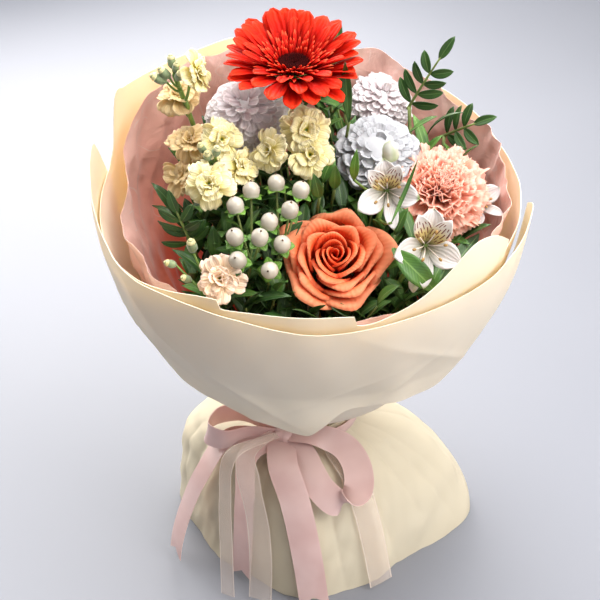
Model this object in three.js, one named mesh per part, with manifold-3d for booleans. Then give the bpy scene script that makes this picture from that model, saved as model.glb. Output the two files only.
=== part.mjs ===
// Mixed flower bouquet: a hand-tied bunch of cut flowers in folded paper sheets, with a bow.
// Millimetres, +Z up. The origin is on the surface, at the cut end of the middle stem. The front
// faces -Y. The bunch stands on its cut stem ends and on the hem of the paper skirt round them.

import * as THREE from 'three';
import { mergeVertices } from 'three/addons/utils/BufferGeometryUtils.js';
import Module from 'manifold-3d';

const wasm = await Module();
wasm.setup();

// ---------------------------------------------------------------- driving dimensions
const AXIS_X = -12;               // the tie and the mouth of the wrap lie this far left of the foot
const TIE_HEIGHT = 106;           // the tie above the surface
const TIE_GATHER = 0.145;         // how far the stems close in at the tie, of their spread above
const FOOT_GATHER = 0.3;          // and how far they part again at their cut ends
const SPREAD_HEIGHT = 362;        // where the stems reach their full spread
const STEM_TURN = -1.75;          // turn of the stems round the bunch, foot to bloom, in radians
const SEAT_GAP = 0.35;            // clearance where one piece seats against another

const MOUTH_X = 148;              // half the width of the wrap's mouth
const MOUTH_FRONT = 125;          // its depth to the front of the axis
const MOUTH_BACK = 118;           // its depth to the back of the axis
const PAPER = 0.8;                // thickness of a folded paper sheet
const LAYER = 2.4;                // distance between sheets at the mouth
const NECK_LAYER = 1.6;           // distance between sheets at the tie
const NECK_RADIUS = 31.7;           // radius of the outer gathered sheet at the tie
const SHEET_COLUMNS = 24;         // columns of a sheet that runs all the way round

const SKIRT_NECK = 33.4;          // radius of the skirt under the band
const BAND_RADIUS = 35.4;         // radius of the ribbon band round the skirt's neck
const SATIN_WIDTH = 22;
const SHEER_WIDTH = 20;
const RIBBON = 0.8;               // thickness of the satin ribbon
const SHEER = 0.6;                // and of the sheer one

const GERBERA_RADIUS = 46;
const ROSE_RADIUS = 33;
const CARNATION_RADIUS = 31;
const MUM_LEFT_RADIUS = 31;
const MUM_RIGHT_RADIUS = 29;
const MUM_BACK_RADIUS = 26;
const STOCK_FLORET_RADIUS = 13;
const BERRY_RADIUS = 5.4;
const LILY_RADIUS = 22;           // alstroemeria, the small Peruvian lily
const LENTISK_LEAFLET = 17;

// ---------------------------------------------------------------- materials
const finish = (color, roughness) => new THREE.MeshStandardMaterial({ color, roughness, metalness: 0 });
const creamPaper = finish(0xe6dcc4, 0.75);
const pinkFilm = finish(0xe09a88, 0.35);
const satin = finish(0xe2bfb6, 0.4);
const sheer = finish(0xe8dcd4, 0.35);
const stemGreen = finish(0x5f7a34, 0.6);
const leafGreen = finish(0x4b6028, 0.55);
const binding = finish(0x9a8f5c, 0.8);
const gerberaRed = finish(0xe43021, 0.55);
const gerberaDisc = finish(0x35130f, 0.8);
const roseOrange = finish(0xe8864f, 0.6);
const carnationPink = finish(0xf2bfae, 0.65);
const mumWhite = finish(0xe2dfe4, 0.6);
const stockCream = finish(0xefe6c6, 0.6);
const lilyWhite = finish(0xefe9e6, 0.5);

// ---------------------------------------------------------------- points and closed skins
const vec = (x, y, z) => new THREE.Vector3(x, y, z);
const UP = vec(0, 0, 1);
const rad = THREE.MathUtils.degToRad;

// Straight lines between (position, value) pairs, for outlines that are given at a few places.
function between(pairs, x) {
  const last = pairs.length - 1;
  if (x <= pairs[0][0]) return pairs[0][1];
  if (x >= pairs[last][0]) return pairs[last][1];
  const i = pairs.findIndex((pair) => pair[0] > x);
  const [x0, y0] = pairs[i - 1];
  const [x1, y1] = pairs[i];
  return y0 + (y1 - y0) * (x - x0) / (x1 - x0);
}

// A closed surface from points and triangles, turned right side out when it comes inside out.
function skin(points, triangles) {
  let volume = 0;
  for (const [a, b, c] of triangles) {
    volume += points[a].dot(points[b].clone().cross(points[c]));
  }
  const order = volume < 0 ? ([a, b, c]) => [a, c, b] : (t) => t;
  const geometry = new THREE.BufferGeometry();
  const numbers = points.flatMap((p) => p.toArray());
  geometry.setAttribute('position', new THREE.Float32BufferAttribute(numbers, 3));
  geometry.setIndex(triangles.flatMap(order));
  return geometry;
}

// A skin through a row of rings. A ring of one point is a tip, and a wider end ring gets a flat cap.
function loft(rings) {
  const triangles = [];
  let start = 0;
  for (let i = 0; i + 1 < rings.length; i += 1) {
    const here = rings[i].length;
    const there = rings[i + 1].length;
    const next = start + here;
    const count = Math.max(here, there);
    for (let k = 0; k < count; k += 1) {
      const k2 = (k + 1) % count;
      if (here > 1) triangles.push([start + k, start + k2, there > 1 ? next + k2 : next]);
      if (there > 1) triangles.push([here > 1 ? start + k : start, next + k2, next + k]);
    }
    start = next;
  }
  for (let k = 2; k < rings[0].length; k += 1) triangles.push([0, k, k - 1]);
  for (let k = 2; k < rings.at(-1).length; k += 1) triangles.push([start, start + k - 1, start + k]);
  return skin(rings.flat(), triangles);
}

// A thin sheet with a middle surface at(i, j), split into triangles alike on both of its faces.
// A round sheet joins its last column to its first one.
function sheet({ at, columns, rows, thickness, round = false, floor = false }) {
  const across = round ? columns : columns + 1;
  const column = (i) => (round ? (i + columns) % columns : Math.min(Math.max(i, 0), columns));
  const row = (j) => Math.min(Math.max(j, 0), rows);
  const middle = [];
  for (let j = 0; j <= rows; j += 1) {
    for (let i = 0; i < across; i += 1) middle.push(at(i, j));
  }
  const index = (i, j) => row(j) * across + column(i);
  const faces = [1, -1].map((side) => middle.map((p, n) => {
    const i = n % across;
    const j = Math.floor(n / across);
    const alongRow = middle[index(i + 1, j)].clone().sub(middle[index(i - 1, j)]);
    const alongColumn = middle[index(i, j + 1)].clone().sub(middle[index(i, j - 1)]);
    const offset = alongRow.cross(alongColumn).setLength(side * thickness / 2);
    if (floor && j === 0) offset.z = 0;
    return p.clone().add(offset);
  }));
  const points = faces.flat();
  const back = middle.length;
  const triangles = [];
  const quad = (a, b, c, d) => triangles.push([a, b, c], [a, c, d]);
  for (let j = 0; j < rows; j += 1) {
    for (let i = 0; i < columns; i += 1) {
      const [a, b, c, d] = [index(i, j), index(i + 1, j), index(i + 1, j + 1), index(i, j + 1)];
      quad(a, b, c, d);
      triangles.push([back + a, back + c, back + b], [back + a, back + d, back + c]);
    }
  }
  for (let i = 0; i < columns; i += 1) {
    quad(index(i, 0), back + index(i, 0), back + index(i + 1, 0), index(i + 1, 0));
    quad(index(i + 1, rows), back + index(i + 1, rows), back + index(i, rows), index(i, rows));
  }
  for (let j = 0; j < rows && !round; j += 1) {
    quad(index(0, j + 1), back + index(0, j + 1), back + index(0, j), index(0, j));
    quad(index(columns, j), back + index(columns, j), back + index(columns, j + 1), index(columns, j + 1));
  }
  return skin(points, triangles);
}

// A round bar through a list of points. The end ring can be turned to face along endFacing.
function bar({ path, radius, sides = 5, tip = radius, endFacing = null }) {
  const rings = path.map((p, i) => {
    const before = path[Math.max(i - 1, 0)];
    const after = path[Math.min(i + 1, path.length - 1)];
    let along = after.clone().sub(before).normalize();
    if (i === 0) along = UP.clone();
    if (i === path.length - 1 && endFacing) along = endFacing.clone().normalize();
    const side = vec(1, 0, 0).addScaledVector(along, -along.x).normalize();
    const other = along.clone().cross(side);
    const r = radius + (tip - radius) * i / (path.length - 1);
    return Array.from({ length: sides }, (unused, k) => {
      const angle = 2 * Math.PI * k / sides;
      return p.clone().addScaledVector(side, r * Math.cos(angle)).addScaledVector(other, r * Math.sin(angle));
    });
  });
  return loft(rings);
}

// A thin twig between two points, of three-sided section unless sides says otherwise.
function twig(from, to, radius, sides = 3) {
  const along = to.clone().sub(from).normalize();
  const side = (Math.abs(along.z) < 0.9 ? UP : vec(1, 0, 0)).clone().cross(along).normalize();
  const other = along.clone().cross(side);
  return loft([from, to].map((p) => Array.from({ length: sides }, (unused, k) => {
    const angle = 2 * Math.PI * k / sides;
    return p.clone().addScaledVector(side, radius * Math.cos(angle))
      .addScaledVector(other, radius * Math.sin(angle));
  })));
}

// A petal or leaf along +X with its face to +Z. It rises at its root by rise degrees, bends down
// by curl degrees on its way, and its two edges stand up by cup of its half width. Its section is
// a low diamond, and widths gives its breadth at even steps, where 0 is a point.
function blade({ length, width, widths, root = 0, rise = 0, curl = 0, cup = 0, thickness = 1.6 }) {
  const steps = widths.length - 1;
  const p = vec(root, 0, 0);
  return loft(widths.map((share, i) => {
    const angle = rad(rise - curl * i / steps);
    if (i > 0) p.add(vec(Math.cos(angle), 0, Math.sin(angle)).multiplyScalar(length / steps));
    if (share === 0) return [p.clone()];
    const face = vec(-Math.sin(angle), 0, Math.cos(angle));
    const half = share * width / 2;
    const edge = (side) => p.clone().add(vec(0, side * half, 0)).addScaledVector(face, cup * half);
    const body = thickness / 2 * Math.min(1, 0.5 + share / 2);
    return [edge(-1), p.clone().addScaledVector(face, -body), edge(1), p.clone().addScaledVector(face, body)];
  }));
}

// A dense head of petals in layers over one another, made as one skin from the stalk to the crown.
// A layer is a star: each petal has the outline of [turn, radius, height] points from its notch on,
// where turn is its share of the way to the next notch, and shift turns the whole layer by that
// share of a petal. Over it the body draws in to a waist of [radius, height] before the next layer.
function layeredHead({ petals, base, layers, crown, vary = 0.04 }) {
  const count = petals * layers[0].petal.length;
  const point = (turns, r, h) => vec(r * Math.cos(2 * Math.PI * turns), r * Math.sin(2 * Math.PI * turns), h);
  const circle = ([r, h]) => Array.from({ length: count }, (unused, k) => point(k / count, r, h));
  const star = (petal, shift) => {
    const outline = [];
    for (let k = 0; k < petals; k += 1) {
      const longer = 1 + draw(-vary, vary);
      for (const [turn, r, h] of petal) outline.push([((k + turn + shift) / petals) % 1, r * longer, h]);
    }
    return outline.sort((a, b) => a[0] - b[0]).map(([turns, r, h]) => point(turns, r, h));
  };
  const rings = base.map(circle);
  for (const { petal, shift = 0, waist } of layers) {
    rings.push(star(petal, shift));
    if (waist) rings.push(circle(waist));
  }
  if (crown !== undefined) rings.push([vec(0, 0, crown)]);
  return loft(rings);
}

// A solid of revolution about Z from (radius, height) pairs that start and end on the axis.
function turned(profile, sides) {
  const outline = profile.map(([r, h]) => new THREE.Vector2(r, h));
  return new THREE.LatheGeometry(outline, sides).rotateX(Math.PI / 2);
}

const around = (geometry, degrees) => geometry.rotateZ(rad(degrees));

// The matrix that carries a bloom made at the origin, facing +Z, to its place and facing.
function pose(place, facing, turn = 0) {
  const q = new THREE.Quaternion().setFromUnitVectors(UP, facing.clone().normalize());
  q.multiply(new THREE.Quaternion().setFromAxisAngle(UP, rad(turn)));
  return new THREE.Matrix4().compose(place, q, vec(1, 1, 1));
}
const carry = (pieces, place, facing, turn) => pieces.map((g) => g.applyMatrix4(pose(place, facing, turn)));

// ---------------------------------------------------------------- joining
function toManifold(geometry) {
  const bare = geometry.clone();
  bare.deleteAttribute('normal');
  bare.deleteAttribute('uv');
  const merged = mergeVertices(bare, 1e-4);
  const index = Array.from(merged.index.array);
  const kept = [];
  for (let i = 0; i < index.length; i += 3) {
    const [a, b, c] = index.slice(i, i + 3);
    if (a !== b && b !== c && c !== a) kept.push(a, b, c);
  }
  return new wasm.Manifold(new wasm.Mesh({
    numProp: 3,
    vertProperties: merged.attributes.position.array,
    triVerts: new Uint32Array(kept),
  }));
}

// One body out of many, without the scraps that a join can leave.
function fuse(geometries) {
  const bodies = wasm.Manifold.union(geometries.map(toManifold)).simplify(0.02).decompose();
  const mesh = bodies.sort((a, b) => b.volume() - a.volume())[0].getMesh();
  const geometry = new THREE.BufferGeometry();
  geometry.setAttribute('position', new THREE.Float32BufferAttribute(mesh.vertProperties, 3));
  geometry.setIndex(Array.from(mesh.triVerts));
  return geometry;
}

const bouquet = new THREE.Group();
function add(name, geometry, material) {
  const mesh = new THREE.Mesh(geometry, material);
  mesh.name = name;
  bouquet.add(mesh);
}

// Random draws that come out the same each time.
let seed = 7;
function draw(low, high) {
  seed = (seed * 16807) % 2147483647;
  return low + (high - low) * seed / 2147483647;
}

// ---------------------------------------------------------------- stems
// The stems of a spiral hand-tied bunch keep one layout, which turns and closes in towards the
// tie and opens again below it, so that no two of them cross.
const axisAt = (z) => AXIS_X * Math.min(1, z / TIE_HEIGHT);

function gather(z) {
  const above = Math.min(1, (z - TIE_HEIGHT) / (SPREAD_HEIGHT - TIE_HEIGHT));
  if (above > 0) return TIE_GATHER + (1 - TIE_GATHER) * Math.sin(Math.PI / 2 * above) ** 1.2;
  return FOOT_GATHER + (TIE_GATHER - FOOT_GATHER) * Math.sin(Math.PI / 2 * z / TIE_HEIGHT);
}

const turnAt = (z) => STEM_TURN * (1 - Math.min(1, z / SPREAD_HEIGHT));
const STEM_LEVELS = [0, 55, TIE_HEIGHT, 150, 205, 265, 330];

// The tie also presses a stem against its neighbour, by press at the tie and less above and below.
function stemPath(top, press = [0, 0]) {
  const spoke = vec(top.x - axisAt(top.z), top.y, 0).divideScalar(gather(top.z));
  const at = (z) => {
    const p = spoke.clone().multiplyScalar(gather(z)).applyAxisAngle(UP, turnAt(z) - turnAt(top.z));
    const share = between([[0, 0], [TIE_HEIGHT, 1], [STEM_LEVELS[4], 0]], z);
    return vec(p.x + axisAt(z) + press[0] * share, p.y + press[1] * share, z);
  };
  const levels = STEM_LEVELS.filter((z) => z < top.z - 12);
  return [...levels.map(at), top.clone()];
}

// The point of a path at a height.
function pathPoint(path, z) {
  const i = Math.max(1, path.findIndex((p) => p.z >= z));
  return path[i - 1].clone().lerp(path[i], (z - path[i - 1].z) / (path[i].z - path[i - 1].z));
}

// A bloom's own stem, which ends just under the bloom and square to it.
function bloomStem(name, base, facing, radius) {
  const top = base.clone().addScaledVector(facing.clone().normalize(), -SEAT_GAP);
  add(name, bar({ path: stemPath(top), radius, endFacing: facing }), stemGreen);
}

// ---------------------------------------------------------------- gerbera
// Two rows of broad ray petals round a ring of short ones, with the dark disc in the middle.
function gerbera() {
  const place = vec(-25, 25, 378);
  const facing = vec(0, -0.08, 1);
  const R = GERBERA_RADIUS;
  const ray = (reach, foot, tip) => [
    [0, 16, foot],
    [0.24, 0.84 * reach, foot + 0.8 * tip],
    [0.5, reach, foot + tip],
    [0.76, 0.84 * reach, foot + 0.8 * tip],
  ];
  const head = layeredHead({
    petals: 16,
    base: [[5, -13], [12.5, -6]],
    layers: [
      { petal: ray(R, -3, 5), waist: [14, -1.5] },
      { petal: ray(0.86 * R, 0, 13), shift: 0.5, waist: [13.4, 0.4] },
      { petal: [[0, 13.8, 1.8], [0.25, 15.6, 4], [0.5, 18, 8], [0.75, 15.6, 4]], waist: [12.4, 1.4] },
    ],
  });
  const disc = turned([[0, 1.8], [11, 1.8], [11.4, 4], [8, 5.8], [4, 5], [0, 4.6]], 12);
  const matrix = pose(place, facing);
  add('gerbera_petals', head.applyMatrix4(matrix), gerberaRed);
  add('gerbera_disc', disc.applyMatrix4(matrix), gerberaDisc);
  bloomStem('gerbera_stem', vec(0, 0, -13).applyMatrix4(matrix), facing, 3.1);
}

// ---------------------------------------------------------------- rose
// Cupped petals in five layers round a rolled heart, each tucked behind its neighbour.
function rosePetal({ reach, height, centre, half, roll }) {
  const columns = 3;
  const rows = 2;
  const shape = [[0.22, 0.04], [0.9, 0.46], [1 + roll, 1]];
  return sheet({
    columns,
    rows,
    thickness: 1.1,
    at: (i, j) => {
      const u = 2 * i / columns - 1;
      const [out, up] = shape[j];
      const corner = j === rows ? 0.72 : 1;
      const angle = centre + half * u * corner;
      const r = reach * out + (j > 0 ? 1.5 * u * corner : 0);
      const drop = j === rows ? 3 * Math.abs(u) : 0;
      return vec(r * Math.cos(angle), r * Math.sin(angle), height * up - drop);
    },
  });
}

function rose() {
  const place = vec(2.4, -60, 291);
  const facing = vec(0.04, -0.6, 0.8);
  const depth = 40;
  const R = ROSE_RADIUS;
  const layers = [
    { count: 2, reach: 0.27 * R, height: 40, roll: 0.0 },
    { count: 3, reach: 0.48 * R, height: 40, roll: 0.03 },
    { count: 4, reach: 0.7 * R, height: 38, roll: 0.08 },
    { count: 5, reach: 0.9 * R, height: 33, roll: 0.14 },
  ];
  const pieces = [turned([[0, -7], [4, -7], [8.5, 0], [11, 5], [7, 9], [0, 9]], 8)];
  pieces.push(turned([[0, 6], [5, 8], [5.5, 26], [3, 38], [0, 39]], 6));
  layers.forEach(({ count, reach, height, roll }, layer) => {
    for (let k = 0; k < count; k += 1) {
      const half = 1.22 * Math.PI / count;
      const centre = 2 * Math.PI * k / count + 1.9 * layer + 0.4;
      pieces.push(rosePetal({ reach, height, centre, half, roll }));
    }
  });
  const base = place.clone().addScaledVector(facing.clone().normalize(), -depth);
  const matrix = pose(base, facing);
  add('rose_bloom', fuse(pieces).applyMatrix4(matrix), roseOrange);
  bloomStem('rose_stem', vec(0, 0, -7).applyMatrix4(matrix), facing, 2.6);
}

// ---------------------------------------------------------------- carnation
// Four layers of toothed, ruffled petals, each steeper than the one outside it.
function carnation() {
  const place = vec(77, -15, 317);
  const facing = vec(0.16, -0.5, 0.85);
  const depth = 27;
  const R = CARNATION_RADIUS;
  const ruffled = (reach, tip) => [
    [0, 0.58 * reach, 0.62 * tip], [0.16, 0.97 * reach, tip + 1.6], [0.38, 0.88 * reach, tip - 1.4],
    [0.62, reach, tip + 1.8], [0.84, 0.9 * reach, tip - 1],
  ];
  const head = layeredHead({
    petals: 8,
    base: [[5.5, -17], [7, -4], [9, 2]],
    layers: [
      { petal: ruffled(R, 12), waist: [16, 9] },
      { petal: ruffled(0.86 * R, 22), shift: 0.4, waist: [13, 15] },
      { petal: ruffled(0.62 * R, 28), shift: 0.1, waist: [8, 20] },
      { petal: ruffled(0.36 * R, 31), shift: 0.6 },
    ],
    crown: 25,
    vary: 0.06,
  });
  const base = place.clone().addScaledVector(facing.clone().normalize(), -depth);
  const matrix = pose(base, facing);
  add('carnation_bloom', head.applyMatrix4(matrix), carnationPink);
  bloomStem('carnation_stem', vec(0, 0, -17).applyMatrix4(matrix), facing, 2.6);
}

// ---------------------------------------------------------------- chrysanthemums
// Layers of short incurved petals, so dense that they hide the head under them.
function mum(name, place, facing, radius, petals) {
  const R = radius;
  const layers = [0, 21, 40, 57, 73].map((latitude, layer) => {
    const out = R * Math.cos(rad(latitude));
    const up = 0.52 * R * Math.sin(rad(latitude));
    return {
      petal: [[0, 0.72 * out, up - 0.5], [0.5, out, up + 2.5]],
      shift: 0.5 * (layer % 2),
      waist: [0.6 * out, up + 0.4],
    };
  });
  layers.at(-1).waist = null;
  const matrix = pose(place, facing);
  const head = layeredHead({ petals, base: [[3.4, -12], [0.42 * R, -5]], layers, crown: 0.5 * R });
  add(`${name}_bloom`, head.applyMatrix4(matrix), mumWhite);
  bloomStem(`${name}_stem`, vec(0, 0, -12).applyMatrix4(matrix), facing, 2.2);
}

// ---------------------------------------------------------------- stock
// A double floret: an open row of petals round two closer ones.
function floret(place, facing, radius = STOCK_FLORET_RADIUS) {
  const R = radius;
  const row = (tip, tipHeight, notch, notchHeight) => [
    [0, notch * R, notchHeight * R],
    [0.5, tip * R, tipHeight * R],
  ];
  const head = layeredHead({
    petals: 5,
    base: [[0.2 * R, -0.45 * R]],
    layers: [
      { petal: row(1, 0.08, 0.62, -0.12), waist: [0.45 * R, 0.06 * R] },
      { petal: row(0.78, 0.42, 0.4, 0.2), shift: 0.5, waist: [0.26 * R, 0.34 * R] },
      { petal: row(0.42, 0.66, 0.2, 0.42) },
    ],
    crown: 0.46 * R,
  });
  return carry([head], place, facing, draw(0, 70));
}

const bud = (place, facing, length) => carry([
  turned([
    [0, -length / 2], [0.27 * length, -0.15 * length], [0.2 * length, 0.25 * length], [0, length / 2],
  ], 5),
], place, facing, 0);

// A stock stem: florets and buds on short stalks from one thick stem that ends in its foot.
function stock(name, top, florets, buds, press) {
  const path = stemPath(top, press);
  const pieces = [bar({ path, radius: 2.7, tip: 1.4 })];
  const anchor = (place, drop) => pathPoint(path, Math.min(place.z - drop, top.z - 1));
  for (const { place, facing, radius } of florets) {
    pieces.push(twig(anchor(place, 14), place, 1.1), ...floret(place, facing, radius));
  }
  for (const { place, facing, length } of buds) {
    pieces.push(twig(anchor(place, 12), place, 0.9), ...bud(place, facing, length));
  }
  add(name, fuse(pieces), stockCream);
}

// ---------------------------------------------------------------- hypericum
// White berries on a forked twig, each in a collar of small green sepals.
function hypericum(name, top, berries, leaves) {
  const path = stemPath(top);
  const pieces = [bar({ path, radius: 1.7, tip: 1.3 })];
  for (const [x, y, z, radius = BERRY_RADIUS] of berries) {
    const place = vec(x, y, z);
    const outward = place.clone().sub(top).add(vec(0, -6, 16)).normalize();
    const seat = place.clone().addScaledVector(outward, -0.86 * radius);
    const r = radius;   // every size of a berry and its collar goes by this
    const parts = [layeredHead({
      petals: 4,
      base: [[0.25 * r, -1.1 * r]],
      layers: [
        { petal: [[0, 0.5 * r, -0.72 * r], [0.5, 1.2 * r, -0.5 * r]], waist: [0.64 * r, -0.66 * r] },
        { petal: [[0, 0.95 * r, 0], [0.5, 0.95 * r, 0]], waist: [0.66 * r, 0.72 * r] },
        { petal: [[0, 0.3 * r, r], [0.5, 0.3 * r, r]] },
      ],
      crown: 1.04 * r,
      vary: 0,
    })];
    pieces.push(...carry(parts, place, outward, draw(0, 90)), twig(top, seat, 0.9));
  }
  for (const { place, facing, turn = 0, length = 26, width = 11 } of leaves) {
    const leaf = blade({ length, width, widths: [0.3, 1, 0.8, 0], rise: 30, curl: 40 });
    pieces.push(...carry([leaf], place, facing, turn));
  }
  add(name, fuse(pieces), leafGreen);
}

// ---------------------------------------------------------------- alstroemeria
// Six petals in two rows round a narrow throat, on a stem with long twisted leaves.
function alstroemeria(name, place, facing, turn, leaves, radius = LILY_RADIUS, press = [0, 0]) {
  const f = facing.clone().normalize();
  const parts = [turned([[0, -15], [1.8, -15], [2.6, -8], [4.6, 1], [0, 2]], 6)];
  for (let k = 0; k < 3; k += 1) {
    const outer = blade({
      root: 2, length: radius, width: 0.72 * radius, widths: [0.3, 1, 0.3], rise: 30, curl: 30,
    });
    const inner = blade({
      root: 2, length: 0.96 * radius, width: 0.42 * radius, widths: [0.4, 1, 0], rise: 46, curl: 24,
    });
    parts.push(around(outer, 120 * k), around(inner, 120 * k + 60));
  }
  parts.push(twig(vec(0, 0, 0), vec(4, 1, 0.8 * radius), 0.8));
  const path = stemPath(place.clone().addScaledVector(f, -15), press);
  const pieces = [...carry(parts, place, facing, turn), bar({ path, radius: 1.8, endFacing: facing })];
  for (const { height, heading, length, width, rise = 20, curl = 60 } of leaves) {
    const root = pathPoint(path, height);
    const leaf = blade({ length, width, widths: [0.35, 1, 0.85, 0], rise, curl, thickness: 1.8 });
    pieces.push(around(leaf, heading).translate(root.x, root.y, root.z));
  }
  add(name, fuse(pieces), lilyWhite);
}

// ---------------------------------------------------------------- lentisk
// A sprig of oval leaflets in pairs along one arched rib, with a leaflet at its tip. The leaflets
// are cut to the rib in one thin blade, which bends back over its length.
function lentisk(name, top, tip, pairs, { facing = vec(0, -0.7, 0.7), press, radius = 1.5 } = {}) {
  const leaflet = LENTISK_LEAFLET;
  const length = top.distanceTo(tip);
  const pitch = 0.82 * length / pairs;
  const leaf = [[0.12, 0.05], [0.45, -0.16], [0.85, 0.2], [1, 0.5], [0.55, 0.34], [0.12, 0.22]];
  const side = [];
  for (let k = 0; k < pairs; k += 1) {
    const size = leaflet * (1 - 0.06 * k);
    for (const [out, along] of leaf) side.push([0.9 + (out - 0.12) * size, 3 + k * pitch + along * size]);
  }
  const end = [[1, length - 2], [3.4, length + 0.3 * leaflet], [0, length + 0.85 * leaflet]];
  const right = [[1, -3], ...side, ...end];
  const left = [...right].reverse().slice(1).map(([x, y]) => [-x, y]);
  const outline = new THREE.Shape([...right, ...left].map(([x, y]) => new THREE.Vector2(x, y)));
  const frond = new THREE.ExtrudeGeometry(outline, { depth: 1.2, bevelEnabled: false, steps: 1 });
  const points = frond.attributes.position;
  for (let i = 0; i < points.count; i += 1) {
    const [x, y] = [points.getX(i), points.getY(i)];
    points.setZ(i, points.getZ(i) - 0.6 + 0.16 * Math.abs(x) - 0.0035 * y * y);
  }
  const rib = tip.clone().sub(top).normalize();
  const across = rib.clone().cross(facing.clone().normalize()).normalize();
  const frame = new THREE.Matrix4().makeBasis(across, rib, across.clone().cross(rib)).setPosition(top);
  const stem = bar({ path: stemPath(top, press), radius, tip: 1.3 });
  add(name, fuse([stem, frond.applyMatrix4(frame)]), leafGreen);
}

// ---------------------------------------------------------------- paper
// The wrap opens from the gathered neck as a bowl. These pairs give its girth at each height, as a
// share of the mouth, for the sheets inside and for the outer sheet, which stands off them below.
const NECK = NECK_RADIUS / MOUTH_X;
const BOWL = [[100, NECK], [113, NECK], [120, 0.26], [132, 0.37], [152, 0.53], [185, 0.7], [225, 0.86],
  [260, 0.945], [290, 0.982], [335, 0.987], [372, 0.967]];
const OUTER_BOWL = [[130, 0.53], [150, 0.63], [170, 0.72], [190, 0.79], [216, 0.875], [255, 0.968],
  [287, 0.998],
  [340, 0.999]];
const LEVELS = [100, 113, 120, 132, 152, 185, 225];

function bowlPoint(bowl, degrees, z, inset) {
  const angle = rad(degrees);
  const girth = between(bowl, z);
  const depth = Math.sin(angle) < 0 ? MOUTH_FRONT : MOUTH_BACK;
  const roundness = between([[113, 0], [200, 1]], z);
  const wide = MOUTH_X * girth - inset;
  const deep = (MOUTH_X + (depth - MOUTH_X) * roundness) * girth - inset;
  return vec(AXIS_X + wide * Math.cos(angle), deep * Math.sin(angle), z);
}

// A gathered sheet from the neck up to its rim, where rim gives the height at each azimuth.
function gatheredSheet({ name, from, to, rim, layer, material, thickness = PAPER, crinkle = 0 }) {
  const step = 360 / SHEET_COLUMNS;
  const round = to - from >= 360;
  const columns = Math.round((to - from) / step);
  const rows = LEVELS.length + 1;
  const at = (i, j) => {
    const degrees = from + i * step;
    const top = between(rim, degrees);
    const levels = [...LEVELS, (LEVELS.at(-1) + top) / 2, top];
    const z = levels[j];
    const spacing = between([[113, NECK_LAYER], [185, LAYER]], z);
    const wrinkle = crinkle * Math.sin(2.6 * i + 1.9 * j) * between([[120, 0], [185, 1]], z);
    return bowlPoint(BOWL, degrees, z, layer * spacing + wrinkle);
  };
  add(name, sheet({ at, columns, rows, thickness, round }), material);
}

function paperSheets() {
  gatheredSheet({
    name: 'paper_back_left', from: 90, to: 210, layer: 0, material: creamPaper,
    rim: [[90, 346], [105, 361], [120, 362], [135, 356], [150, 353], [165, 320], [180, 292], [210, 270]],
  });
  gatheredSheet({
    name: 'paper_front', from: 195, to: 330, layer: 1, material: creamPaper,
    rim: [[195, 262], [210, 272], [240, 282], [270, 283], [285, 278], [300, 279], [315, 292], [330, 298]],
  });
  gatheredSheet({
    name: 'paper_back_right', from: -45, to: 105, layer: 2, material: creamPaper,
    rim: [[-45, 270], [-15, 290], [0, 302], [15, 308], [30, 323], [45, 334], [60, 341], [75, 348],
      [105, 350]],
  });
  gatheredSheet({
    name: 'pink_film', from: 0, to: 360, layer: 3.6, material: pinkFilm, thickness: 0.7, crinkle: 1.4,
    rim: [[0, 308], [15, 320], [30, 327], [45, 337], [60, 350], [75, 357], [90, 358], [105, 361], [120, 362],
      [135, 355], [150, 345], [165, 314], [180, 292], [195, 278], [216, 266], [240, 262], [276, 262],
      [300, 266], [324, 282], [348, 298], [360, 308]],
  });
}

// The outer sheet is wrapped round the front, past both sides, and is glued to the sheets inside.
// Its lower edge comes to a blunt point over the bow, and its two upper corners stand up.
function outerSheet() {
  const step = 360 / SHEET_COLUMNS;
  const from = 165;
  const to = 360;
  const lower = [[165, 196], [204, 188], [218, 180], [233, 178], [245, 174], [257, 166], [267, 159],
    [274, 172], [285, 187], [303, 183], [324, 184], [360, 200]];
  const upper = [[165, 296], [180, 334], [195, 312], [207, 286], [234, 284], [249, 279], [262, 273],
    [285, 274], [306, 281], [330, 281], [345, 302], [360, 290]];
  const rows = 5;
  const at = (i, j) => {
    const degrees = from + i * step;
    const low = between(lower, degrees);
    const z = low + (between(upper, degrees) - low) * j / rows;
    return bowlPoint(OUTER_BOWL, degrees, z, 0);
  };
  const columns = Math.round((to - from) / step);
  add('paper_outer', sheet({ at, columns, rows, thickness: PAPER }), creamPaper);
}

// ---------------------------------------------------------------- skirt
// The paper below the tie: gathered at its neck, it puffs out and falls in folds to the surface.
const HEM = [[0, 134], [30, 118], [60, 108], [90, 105], [120, 106], [150, 110], [180, 108], [207, 97],
  [234, 93],
  [252, 98], [270, 105], [290, 99], [316, 97], [340, 116], [360, 134]];
const SKIRT_HEIGHTS = [0, 24, 48, 72, 90, 100, 112];
const SKIRT_RIGHT = [1, 0.95, 0.86, 0.72, 0.54];   // girth at those heights, as a share of the hem
const SKIRT_LEFT = [1, 1, 0.99, 0.94, 0.8];

function skirtRadius(degrees, row) {
  if (row > 4) return SKIRT_NECK;
  const right = (1 + Math.cos(rad(degrees))) / 2;
  const girth = SKIRT_LEFT[row] + (SKIRT_RIGHT[row] - SKIRT_LEFT[row]) * right;
  return between(HEM, (degrees + 360) % 360) * girth;
}

function skirt() {
  const columns = 32;
  const rows = SKIRT_HEIGHTS.length - 1;
  const folds = 8;
  const depths = [5, 5, 4.5, 4, 3.4, 0, 0];
  const at = (i, j) => {
    const degrees = 360 * i / columns;
    const fold = depths[j] * (0.5 + 0.5 * Math.sin(rad(folds * degrees) + 0.9 * Math.sin(rad(3 * degrees))));
    const r = skirtRadius(degrees, j) - fold;
    return vec(AXIS_X + r * Math.cos(rad(degrees)), r * Math.sin(rad(degrees)), SKIRT_HEIGHTS[j]);
  };
  add('paper_skirt', sheet({ at, columns, rows, thickness: PAPER, round: true, floor: true }), creamPaper);
}

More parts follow.
